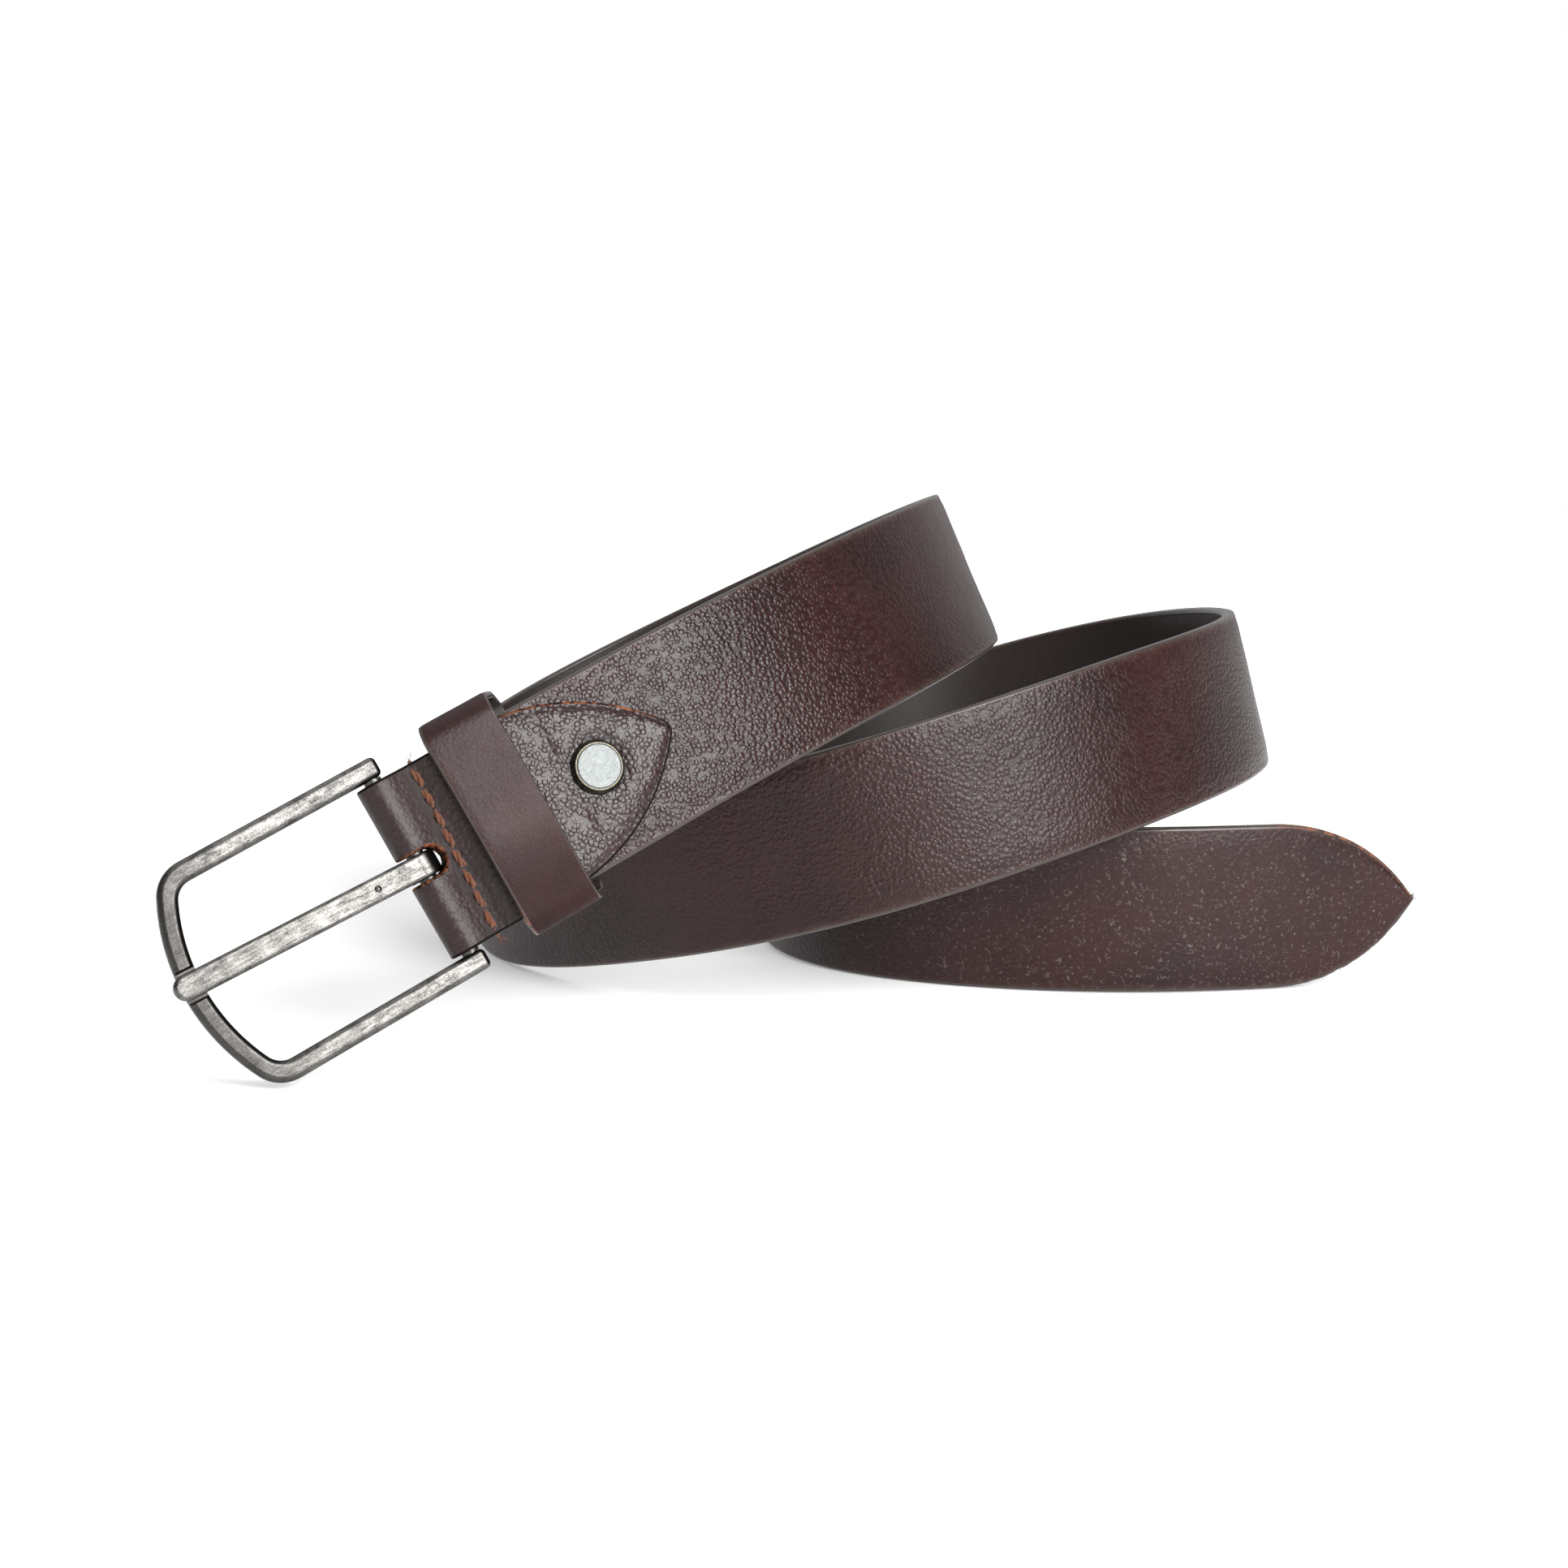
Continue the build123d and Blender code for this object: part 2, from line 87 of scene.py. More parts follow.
BAR_RADIUS = 1.7
HINGE_GAP = 0.08
CHAPE_LEATHER = 1.8
CHAPE_EDGE = 1.3
CHAPE_NOSE = -54.5
NOSE_RADIUS = 2.5
FLAP_GAP = 0.1
PINCH_X = -6.4
PINCH_GAP = 0.1
RAMP_X = -12.0
SLOT_WIDTH = 5.4
SLOT_END = -3.9
SLOT_EASE = 0.3             # the prong has worn the slot this much longer than it was cut
STITCH_COUNT = 8
STITCH_PITCH = 4.1
STITCH_LENGTH = 3.7
SEAM_SLANT = 0.055
RIVET_X = -37.3
WASHER_RADIUS = 5.15
KEEPER_FRONT = -10.9
KEEPER_LENGTH = 14.5
KEEPER_LEATHER = 1.6
KEEPER_INNER_HALF = 20.4
KEEPER_RISE = 0.5
KEEPER_SKEW = 0.40
KEEPER_INNER_FRONT = 3.9
KEEPER_INNER_BACK = -7.9
KEEPER_CORNER = 2.6
KEEPER_REACH = 30.8         # how far from the bar the keeper slides
SEAM_GAP = 0.3
THIN_RIM = 0.5              # the chape's and the keeper's rounded edges
KEEPER_BOW = 0.55           # how far the keeper's leather bulges between its corners
KEEPER_CROWN = 0.12         # how much its face falls off towards its edges


def unit(vectors):
    """Vectors scaled to length 1, along their last axis."""
    return vectors / np.linalg.norm(vectors, axis=-1, keepdims=True)


def run_direction():
    """Unit vector along the straight run, towards the buckle."""
    heading = math.radians(BAR_HEADING)
    slope = math.radians(BAR_SLOPE)
    level = math.cos(slope)
    return np.array([level * math.cos(heading), level * math.sin(heading), math.sin(slope)])


def smooth_slopes(points, end_slope):
    """Slopes of a curve with even curvature through the points, held to end_slope at the last."""
    count = len(points)
    matrix = np.zeros((count, count))
    right = np.zeros_like(points)
    matrix[0, :2] = (2, 1)
    right[0] = 3 * (points[1] - points[0])
    for i in range(1, count - 1):
        matrix[i, i - 1:i + 2] = (1, 4, 1)
        right[i] = 3 * (points[i + 1] - points[i - 1])
    matrix[-1, -1] = 1
    right[-1] = end_slope
    return np.linalg.solve(matrix, right)


def across_and_out(direction, lean):
    """The strap's upward and outward unit vectors, from its directions and its leans."""
    upright = np.array([0.0, 0.0, 1.0]) - direction * direction[..., 2:3]
    upright = unit(upright)
    sideways = np.cross(upright, direction)
    angle = np.radians(lean)[..., None]
    across = np.cos(angle) * upright + np.sin(angle) * sideways
    return across, np.cross(across, direction)


class Ribbon:
    """The strap's centre line: gives the place of any (distance from tip, height, lift)."""

    def __init__(self):
        direction = run_direction()
        run_start = np.array(BAR_POINT, float) - STRAIGHT_RUN * direction
        knots = np.vstack([np.array(STATIONS, float), [*run_start, BAR_LEAN]])
        last_span = np.linalg.norm(knots[-1, :3] - knots[-2, :3])
        slopes = smooth_slopes(knots, np.array([*(direction * last_span * END_PULL), 0.0]))
        f = (np.arange(SAMPLES_PER_SPAN) / SAMPLES_PER_SPAN)[:, None]
        values, tangents = [], []
        for a, b, from_slope, to_slope in zip(knots, knots[1:], slopes, slopes[1:]):
            values.append((2 * f**3 - 3 * f**2 + 1) * a + (f**3 - 2 * f**2 + f) * from_slope
                          + (3 * f**2 - 2 * f**3) * b + (f**3 - f**2) * to_slope)
            tangents.append((6 * f**2 - 6 * f) * (a - b) + (3 * f**2 - 4 * f + 1) * from_slope
                            + (3 * f**2 - 2 * f) * to_slope)
        run = np.linspace(0, STRAIGHT_RUN + STRAP_END, SAMPLES_PER_SPAN)[:, None]
        values.append(np.hstack([run_start + direction * run, np.full_like(run, BAR_LEAN)]))
        tangents.append(np.hstack([np.tile(direction, (len(run), 1)), np.zeros_like(run)]))
        values = np.vstack(values)
        self.points = values[:, :3]
        self.leans = values[:, 3]
        self.directions = unit(np.vstack(tangents)[:, :3])
        steps = np.linalg.norm(np.diff(self.points, axis=0), axis=1)
        self.distances = np.concatenate([[0.0], np.cumsum(steps)])
        self.length = self.distances[-1]

    def at(self, distance, columns):
        """One or more columns of samples, read at the given distances."""
        columns = np.atleast_2d(columns.T)
        read = [np.interp(distance, self.distances, column) for column in columns]
        return np.stack(read, axis=-1)

    def sheet(self, distance, height):
        """Middle points and outward normals of the strap."""
        points = self.at(distance, self.points)
        directions = unit(self.at(distance, self.directions))
        leans = self.at(distance, self.leans)[..., 0]
        across, outward = across_and_out(directions, leans)
        return points + across * height[..., None], outward


def bar_axes():
    """The buckle end's forward, outward and across unit vectors."""
    forward = run_direction()
    across, outward = across_and_out(forward[None], np.array([BAR_LEAN]))
    return np.array([forward, outward[0], across[0]])


BAR_AXES = bar_axes()


def from_bar(points):
    """Points of the buckle end's frame, taken to the belt's own frame."""
    return np.array(BAR_POINT, float) + points @ BAR_AXES


HALF_WIDTH = STRAP_WIDTH / 2
ARCH_RADIUS = (ARCH_LENGTH**2 + HALF_WIDTH**2) / (2 * HALF_WIDTH)


def arch_half(distance, inset):
    """Half the width of a pointed strap end, a distance from its point, inside its rim."""
    inside = np.clip(ARCH_LENGTH - distance, 0, ARCH_LENGTH)
    reach = np.sqrt(np.clip((ARCH_RADIUS - inset)**2 - inside**2, 0, None))
    return np.maximum(HALF_WIDTH - ARCH_RADIUS + reach, 0)


def arch_start(inset):
    """How far from the arch's sharp point the area inside its rim starts."""
    return ARCH_LENGTH - math.sqrt((ARCH_RADIUS - inset)**2 - (ARCH_RADIUS - HALF_WIDTH)**2)


def flap_nose(inset):
    """Where the rounded nose of a flap starts, its centre and where it meets the arch."""
    reach = ARCH_RADIUS - NOSE_RADIUS
    centre = ARCH_LENGTH - math.sqrt(reach**2 - (ARCH_RADIUS - HALF_WIDTH)**2)
    radius = NOSE_RADIUS - inset
    return centre - radius, centre, centre - radius * (ARCH_LENGTH - centre) / reach


def flap_half(distance, inset):
    """Half the width of a flap, a distance from the arch's sharp point, inside its rim."""
    _, centre, meet = flap_nose(inset)
    nose = np.sqrt(np.clip((NOSE_RADIUS - inset)**2 - (distance - centre)**2, 0, None))
    return np.where(distance < meet, nose, arch_half(distance, inset))


# ---- meshes ----------------------------------------------------------------------------

def soft_noise(points, size, seed=0.0):
    """Smooth noise of about -1 to 1 at points in mm, with features of that size."""
    shift = Vector((seed, seed * 1.7, seed * 0.6))
    return np.array([noise.noise(Vector(p) / size + shift) for p in points])


def smooth_step(low, high, value):
    """0 below low, 1 above high, and an even ease between."""
    f = np.clip((value - low) / (high - low), 0, 1)
    return f * f * (3 - 2 * f)


def make_object(name, points, faces, material_of_face, materials, body, replaced):
    """A smooth mesh piece that rides on a body and stands for the named CAD nodes."""
    mesh = bpy.data.meshes.new(name)
    mesh.from_pydata([tuple(p * MM) for p in points], [], faces)
    for material in materials:
        mesh.materials.append(material)
    mesh.polygons.foreach_set("material_index", material_of_face)
    mesh.polygons.foreach_set("use_smooth", [True] * len(faces))
    mesh.update()
    piece = bpy.data.objects.new(name, mesh)
    bpy.context.scene.collection.objects.link(piece)
    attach(piece, body)
    if replaced:
        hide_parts(*replaced)
    return piece


def add_masks(piece, masks, source):
    """Per-vertex numbers that the piece's materials read by name."""
    for name, values in masks.items():
        layer = piece.data.attributes.new(name, "FLOAT", "POINT")
        layer.data.foreach_set("value", np.asarray(values, dtype=np.float32)[source])


RIM_STEPS = 6
RIM_SQUARENESS = 0.6        # 1 for a round edge, less for a squarer one


def proper_loops(middle, normals, quads):
    """The quads without doubled corners, wound to face along the normals."""
    loops = [[v for i, v in enumerate(quad) if v != quad[i - 1]] for quad in quads]
    loops = [loop for loop in loops if len(loop) > 2]
    a, b, c = (middle[[loop[k] for loop in loops]] for k in range(3))
    facing = np.cross(b - a, c - a) * normals[[loop[0] for loop in loops]]
    return loops if facing.sum() > 0 else [loop[::-1] for loop in loops]


def sheet_shell(middle, normals, out, inward, quads, rim):
    """A leather sheet with two faces and a rounded rim round its border, from its middle surface.
    Returns points, faces, each face's material (0 outer, 1 rim, 2 inner), and the number of the
    middle point that each point comes from."""
    loops = proper_loops(middle, normals, quads)
    edges = {(a, b) for loop in loops for a, b in zip(loop, loop[1:] + loop[:1])}
    border = sorted((a, b) for a, b in edges if (b, a) not in edges)
    away = np.zeros_like(middle)
    for a, b in border:
        side = unit(np.cross(middle[b] - middle[a], normals[a] + normals[b]))
        away[a] += side
        away[b] += side
    bordering = sorted({a for a, b in border})
    place = {v: k for k, v in enumerate(bordering)}
    away = unit(away[bordering])
    count, ring = len(middle), len(bordering)
    points = [middle + normals * out[:, None], middle - normals * inward[:, None]]
    for step in range(1, RIM_STEPS):
        angle = math.pi / 2 - math.pi * step / RIM_STEPS
        rise = math.copysign(abs(math.sin(angle))**RIM_SQUARENESS, math.sin(angle))
        reach = rim * math.cos(angle)**RIM_SQUARENESS
        half = (out if rise > 0 else inward)[bordering]
        raised = middle[bordering] + normals[bordering] * (rise * half)[:, None]
        points.append(raised + away * reach)

    def corner(v, step):
        if step == 0:
            return v
        return v + count if step == RIM_STEPS else 2 * count + (step - 1) * ring + place[v]

    faces = loops + [[v + count for v in reversed(loop)] for loop in loops]
    kinds = [0] * len(loops) + [2] * len(loops)
    for a, b in border:
        for step in range(RIM_STEPS):
            faces.append([corner(b, step), corner(a, step),
                          corner(a, step + 1), corner(b, step + 1)])
            kinds.append(1)
    source = np.concatenate([np.arange(count)] * 2 + [bordering] * (RIM_STEPS - 1)).astype(int)
    return np.vstack(points), faces, kinds, source


def grid_quads(columns, rows, keep=None):
    """Quads of a grid whose vertices are numbered column by column."""
    quads = []
    for i in range(columns - 1):
        for j in range(rows - 1):
            if keep is None or keep(i, j):
                a = i * rows + j
                quads.append([a, a + rows, a + rows + 1, a + 1])
    return quads


# ---- the strap ---------------------------------------------------------------------------

COLUMNS_PER_PITCH = 16
STRAP_ROWS = 25
PATCH_COLUMNS = 3           # cells kept clear to each side of a hole
PATCH_ROWS = 2
PATCH_RINGS = (0.4, 0.75, 1.0)  # shares of the way from the patch's border to the hole
SMALLEST = 0.01             # a width to divide by where the strip has none
STRAP_CROWN = 0.22          # how much the strap's faces fall off towards its edges
TIP_ROUGHNESS = 0.25        # how ragged the tip's lower edge is


def strap_grid(length):
    """Distances and relative heights of the strap's grid, with a patch left out at each hole."""
    step = HOLE_PITCH / COLUMNS_PER_PITCH
    whole = int(length / step)
    distances = np.append(np.arange(whole) * step, length - STRAP_RIM)
    distances[0] = arch_start(STRAP_RIM)
    heights = np.sin(np.linspace(-math.pi / 2, math.pi / 2, STRAP_ROWS))
    centres = [round((FIRST_HOLE + i * HOLE_PITCH) / step) for i in range(HOLE_COUNT)]
    return distances, heights, centres


def hole_patch(points_st, centre, rows):
    """Rings of cells that join a hole to the square patch left out around it."""
    middle = rows // 2
    left, right = centre - PATCH_COLUMNS, centre + PATCH_COLUMNS
    low, high = middle - PATCH_ROWS, middle + PATCH_ROWS
    border = [(i, low) for i in range(left, right)]
    border += [(right, j) for j in range(low, high)]
    border += [(i, high) for i in range(right, left, -1)]
    border += [(left, j) for j in range(high, low, -1)]
    outer = [i * rows + j for i, j in border]
    hole = points_st[centre * rows + middle]
    spokes = points_st[outer] - hole
    rim = hole + unit(spokes) * (HOLE_RADIUS + STRAP_RIM)
    return outer, [points_st[outer] * (1 - f) + rim * f for f in PATCH_RINGS]


def strap_mesh(ribbon):
    """Flat (distance, height) points and quads of the strap, holes included."""
    distances, heights, centres = strap_grid(ribbon.length)
    rows = len(heights)
    halves = arch_half(distances, STRAP_RIM)
    flat = np.array([(d, half * h) for d, half in zip(distances, halves) for h in heights])
    middle = rows // 2

    def keep(i, j):
        near = any(-PATCH_COLUMNS <= i - c < PATCH_COLUMNS for c in centres)
        return not (near and -PATCH_ROWS <= j - middle < PATCH_ROWS)

    quads = grid_quads(len(distances), rows, keep)
    for centre in centres:
        last, rings = hole_patch(flat, centre, rows)
        for ring in rings:
            start = len(flat)
            flat = np.vstack([flat, ring])
            new = list(range(start, start + len(ring)))
            for k in range(len(ring)):
                n = (k + 1) % len(ring)
                quads.append([last[k], last[n], new[n], new[k]])
            last = new
    quads = [[0 if v < rows else v for v in quad] for quad in quads]
    return flat, quads


def make_strap(ribbon, materials):
    """The long strap, with slightly uneven faces and a rough lower edge at its tip."""
    flat, quads = strap_mesh(ribbon)
    s, t = flat[:, 0], flat[:, 1]
    half = np.maximum(arch_half(s, STRAP_RIM), SMALLEST)
    edge = np.abs(t) / half
    lower_tip = smooth_step(0.9, 1.0, -t / half) * (s < 30) * (s > 1)
    ragged = np.column_stack([s, t, np.zeros_like(s)])
    t = t + lower_tip * TIP_ROUGHNESS * soft_noise(ragged, 1.6, 3.0)
    middle, normals = ribbon.sheet(s, t)
    wave = 0.10 * soft_noise(middle, 22.0) + 0.05 * soft_noise(middle, 7.0, 5.0)
    crown = STRAP_CROWN * smooth_step(0.80, 1.0, edge)
    inward = np.full(len(s), STRAP_THICKNESS / 2) - crown
    outward = np.full(len(s), STRAP_THICKNESS / 2) + wave * (s > 8) - crown
    points, faces, kinds, source = sheet_shell(middle, normals, outward, inward, quads, STRAP_RIM)
    strap = make_object("strap_leather", points, faces, kinds, materials,
                        "strap_body", ["strap"])
    upper_tip = smooth_step(0.5, 1.0, t / half) * (1 - smooth_step(28, 38, s))
    masks = {
        "tip": 1 - smooth_step(60, 190, s),
        "rivet": smooth_step(ribbon.length - 190, ribbon.length - 60, s),
        "edge": smooth_step(0.94, 1.0, edge),
        "raw": upper_tip,
    }
    add_masks(strap, masks, source)


# ---- the chape ---------------------------------------------------------------------------

FOLD_STEPS = 20
NOSE_COLUMNS = 12
FLAT_COLUMNS = 52
RAMP_COLUMNS = 40
HALF_ROWS = 13
FOLD_RADIUS = BAR_RADIUS + HINGE_GAP + CHAPE_LEATHER / 2
PUFF = 0.40                 # how far the leather swells round the rivet
DISH = 0.10                 # how far it is pressed in under the rivet's ring
CRUMPLE = 0.14              # how deep the creases by the seam are
SKIVED = 0.40               # how much thinner the flaps are at their rims


def ramp_height(x):
    """The flap's middle, out from the strap's middle, from the fold back to the flat part."""
    pinch = PINCH_GAP + CHAPE_LEATHER / 2
    flat = STRAP_THICKNESS / 2 + FLAP_GAP + CHAPE_LEATHER / 2
    front = FOLD_RADIUS + (pinch - FOLD_RADIUS) * smooth_step(0, -PINCH_X, -x)
    back = pinch + (flat - pinch) * smooth_step(-PINCH_X, -RAMP_X, -x)
    return np.where(x > PINCH_X, front, back)


def flap_thickness(x):
    """The flap's thickness, skived towards its point."""
    return np.interp(x, [CHAPE_NOSE, RAMP_X], [CHAPE_EDGE, CHAPE_LEATHER])


def chape_path():
    """x, out, thickness of the folded strip's middle line, from the outer nose to the inner."""
    start, _, meet = flap_nose(THIN_RIM)
    nose = start + (meet + 1 - start) * np.linspace(0, 1, NOSE_COLUMNS)**2
    flat = np.linspace(meet + 1.5, RAMP_X - CHAPE_NOSE, FLAT_COLUMNS)
    ramp = np.linspace(RAMP_X - CHAPE_NOSE + 0.4, -CHAPE_NOSE, RAMP_COLUMNS)
    x = CHAPE_NOSE + np.concatenate([nose, flat, ramp])
    strap_half = STRAP_THICKNESS / 2 + FLAP_GAP
    thickness = flap_thickness(x)
    y = np.where(x < RAMP_X, strap_half + thickness / 2, ramp_height(x))
    angles = np.linspace(math.pi / 2, -math.pi / 2, FOLD_STEPS)[1:-1]
    xs = np.concatenate([x, FOLD_RADIUS * np.cos(angles), x[::-1]])
    ys = np.concatenate([y, FOLD_RADIUS * np.sin(angles), -y[::-1]])
    thick = np.concatenate([thickness, np.full(len(angles), CHAPE_LEATHER), thickness[::-1]])
    return xs, ys, thick


def slot_half(x):
    """Half the prong slot's width at x, with its rounded end and its rim."""
    radius = SLOT_WIDTH / 2 + THIN_RIM
    inside = np.clip(x - SLOT_END + THIN_RIM + SLOT_EASE, 0, radius)
    return np.sqrt(radius**2 - (radius - inside)**2)


def chape_lift(x, z, rim, side):
    """How far the leather's outer face puffs up round the rivet and crumples by the seam."""
    reach = np.hypot(x - RIVET_X, z)
    puff = PUFF * smooth_step(WASHER_RADIUS, WASHER_RADIUS + 2.2, reach)
    puff *= 1 - 0.6 * smooth_step(WASHER_RADIUS + 2.6, WASHER_RADIUS + 8.0, reach)
    puff *= smooth_step(KEEPER_REACH, KEEPER_REACH + 2.0, -x) * smooth_step(0.3, 3.4, rim)
    valley = smooth_step(5.6, 7.0, -x) * (1 - smooth_step(9.0, 12.5, -x))
    places = np.column_stack([x, z, 20.0 * side])
    crumple = soft_noise(places, 1.5, 9.0) + 0.6 * soft_noise(places, 0.8, 2.0)
    swell = soft_noise(places * [1, 0.35, 1], 5.0, 4.0)
    return puff - DISH * (reach < WASHER_RADIUS) + CRUMPLE * valley * crumple + 0.05 * swell


def chape_halves(xs, ys, inner, half):
    """Points (x, out, across, column) and quads of the strip's halves, joined where they meet."""
    columns = len(xs)
    share = np.sin(np.linspace(0, math.pi / 2, HALF_ROWS))
    flat, quads = [], []
    for side in (1, -1):
        start = len(flat)
        flat += [(xs[i], ys[i], side * (inner[i] + (half[i] - inner[i]) * r), i)
                 for i in range(columns) for r in share]
        loops = grid_quads(columns, HALF_ROWS)
        quads += [[v + start for v in (quad if side > 0 else quad[::-1])] for quad in loops]
    second = columns * HALF_ROWS
    firsts = [i * HALF_ROWS for i in range(columns)]
    joined = {second + first: first for first, gap in zip(firsts, inner) if gap == 0}
    for first in (firsts[0], firsts[-1]):
        for base in (first, second + first):
            joined.update({base + j: first for j in range(HALF_ROWS)})
    return np.array(flat), [[joined.get(v, v) for v in quad] for quad in quads]


def chape_masks(x, z, half, inner):
    """Where the chape is creased, smooth, pressed in, near its rim or raw. The creases, the
    pressed-in ring and the rim take painted shade.
    """
    reach = np.hypot(x - RIVET_X, z)
    near_slot = (1 - smooth_step(0.3, 1.5, np.abs(z) - inner)) * (inner > 0)
    upper_rim = smooth_step(1, 6, z) * smooth_step(-RIVET_X - 14, -RIVET_X - 8, -x)
    return {
        "valley": smooth_step(3.2, 5.0, -x) * (1 - smooth_step(10.5, 13.0, -x)),
        "rivet": 1 - smooth_step(12, 24, reach),
        "ring": 1 - smooth_step(0.2, 1.6, reach - WASHER_RADIUS),
        "edge": smooth_step(0.93, 1.0, np.abs(z) / np.maximum(half, SMALLEST)),
        "raw": np.maximum(near_slot, upper_rim),
        "smooth": smooth_step(PINCH_X - 2, PINCH_X + 2, x) * 0.6,
    }


def make_chape(materials):
    """The folded strip: two pointed flaps, the fold round the bar, the prong's slot."""
    xs, ys, thick = chape_path()
    half = flap_half(xs - CHAPE_NOSE, THIN_RIM)
    inner = slot_half(xs)
    tangents = unit(np.column_stack([np.gradient(xs), np.gradient(ys)]))
    normals_xy = np.column_stack([-tangents[:, 1], tangents[:, 0]])
    flat, quads = chape_halves(xs, ys, inner, half)
    column = flat[:, 3].astype(int)
    half, inner, thick = half[column], inner[column], thick[column]
    x, y, z = flat[:, 0], flat[:, 1], flat[:, 2]
    normal = np.column_stack([normals_xy[column], np.zeros(len(flat))])
    from_rim = half - np.abs(z)
    lift = chape_lift(x, z, from_rim, np.sign(y))
    thin = SKIVED * (1 - smooth_step(0, 1.6, from_rim)) * (x < RAMP_X)
    points, faces, kinds, source = sheet_shell(flat[:, :3], normal, thick / 2 + lift - thin,
                                               thick / 2, quads, THIN_RIM)
    chape = make_object("chape_leather", from_bar(points), faces, kinds, materials,
                        "strap_body", ["chape"])
    add_masks(chape, chape_masks(x, z, half, inner), source)


# ---- the keeper --------------------------------------------------------------------------

def rounded_loop(half_y, half_z, corner, steps):
    """A rounded rectangle as (y, z, normal y, normal z), started at the middle of its back."""
    rows = []
    corners = [(-1, -1, 180), (1, -1, 270), (1, 1, 0), (-1, 1, 90)]
    for sy, sz, first in corners:
        for f in np.linspace(0, 1, steps):
            angle = math.radians(first + 90 * f)
            cy, cz = sy * (half_y - corner), sz * (half_z - corner)
            rows.append((cy + corner * math.cos(angle), cz + corner * math.sin(angle),
                         math.cos(angle), math.sin(angle)))
    return np.array(rows)


def along_path(rows, spacing):
    """Points added on a path's straight stretches, at about that spacing."""
    out = []
    for a, b in zip(rows, rows[1:]):
        pieces = max(1, int(np.hypot(*(b[:2] - a[:2])) / spacing))
        out += [a + (b - a) * f for f in np.arange(pieces) / pieces]
    out.append(rows[-1])
    return np.array(out)


KEEPER_ROWS = 15
CORNER_STEPS = 9
PATH_SPACING = 0.9


def keeper_path():
    """The keeper's middle line as (out, across, normal out, normal across), from butt to butt."""
    half_y = (KEEPER_INNER_FRONT - KEEPER_INNER_BACK + KEEPER_LEATHER) / 2
    half_z = KEEPER_INNER_HALF + KEEPER_LEATHER / 2
    corner = KEEPER_CORNER + KEEPER_LEATHER / 2
    loop = rounded_loop(half_y, half_z, corner, CORNER_STEPS)
    seam = SEAM_GAP / 2 + THIN_RIM
    back = np.array([[-half_y, -seam, -1, 0], [-half_y, seam, -1, 0]])
    return along_path(np.vstack([back[:1], loop, back[1:]]), PATH_SPACING)


def make_keeper(materials):
    """The keeper: a strip bent round the strap, butted at the back."""
    path = keeper_path()
    middle_y = (KEEPER_INNER_FRONT + KEEPER_INNER_BACK) / 2
    half_length = KEEPER_LENGTH / 2
    rows = np.sin(np.linspace(-math.pi / 2, math.pi / 2, KEEPER_ROWS)) * (half_length - THIN_RIM)
    columns = len(path)
    x = np.tile(rows, columns) + KEEPER_FRONT - half_length
    y = np.repeat(path[:, 0], len(rows)) + middle_y
    z = np.repeat(path[:, 1], len(rows))
    normal = np.column_stack([np.zeros(len(x)), np.repeat(path[:, 2:], len(rows), axis=0)])
    normal = unit(normal)
    x = x - KEEPER_SKEW * (KEEPER_INNER_FRONT - y)
    z = z + KEEPER_RISE
    flat = np.column_stack([x, y, z])
    out = KEEPER_LEATHER / 2 + 0.06 * soft_noise(flat, 6.0) + 0.03 * soft_noise(flat, 2.2, 7.0)
    front_or_back = np.abs(normal[:, 1]) > 0.9
    out = out + KEEPER_BOW * (1 - (z / KEEPER_INNER_HALF)**2).clip(0) * front_or_back
    edge = np.abs(np.tile(rows, columns)) / half_length
    out = out - KEEPER_CROWN * smooth_step(0.8, 1.0, edge)
    inward = np.full(len(x), KEEPER_LEATHER / 2)
    quads = grid_quads(columns, len(rows))
    points, faces, kinds, source = sheet_shell(flat, normal, out, inward, quads, THIN_RIM)
    keeper = make_object("keeper_leather", from_bar(points), faces, kinds, materials,
                         "keeper_body", ["keeper_loop"])
    masks = {
        "edge": smooth_step(0.90, 1.0, edge),
        "raw": smooth_step(14, 20, -z) * (np.tile(rows, columns) > 0),
        "smooth": np.full(len(x), 0.55),
        "valley": smooth_step(0, 15, -z),
    }
    add_masks(keeper, masks, source)


# ---- threads -----------------------------------------------------------------------------

def tube(line, radius, sides=6):
    """Points and faces of a closed tube of varying radius along a line."""
    line = np.asarray(line, float)
    radius = np.broadcast_to(radius, len(line))
    tangents = unit(np.gradient(line, axis=0))
    helper = np.array([0.3, 0.5, 0.81])
    first = unit(np.cross(tangents, helper))
    second = np.cross(tangents, first)
    points, faces = [], []
    for i, centre in enumerate(line):
        for k in range(sides):
            angle = 2 * math.pi * k / sides
            spoke = math.cos(angle) * first[i] + math.sin(angle) * second[i]
            points.append(centre + radius[i] * spoke)
    for i in range(len(line) - 1):
        for k in range(sides):
            a, b = i * sides + k, i * sides + (k + 1) % sides
            faces.append([a, b, b + sides, a + sides])
    faces.append(list(range(sides))[::-1])
    faces.append([(len(line) - 1) * sides + k for k in range(sides)])
    return np.array(points), faces


def join_tubes(tubes):
    """Several tubes as one list of points and one of faces."""
    points, faces, count = [], [], 0
    for tube_points, tube_faces in tubes:
        points.append(tube_points)
        faces += [[v + count for v in face] for face in tube_faces]
        count += len(tube_points)
    return np.vstack(points), faces


STITCH_STEPS = 17
STITCH_PROUD = 0.35         # how far a stitch stands out of the leather
STITCH_DIP = 1.3            # how far it dives to its holes
FUZZ_PER_STITCH = 7
TIP_FIBRES = 16
EDGE_FIBRES = 40


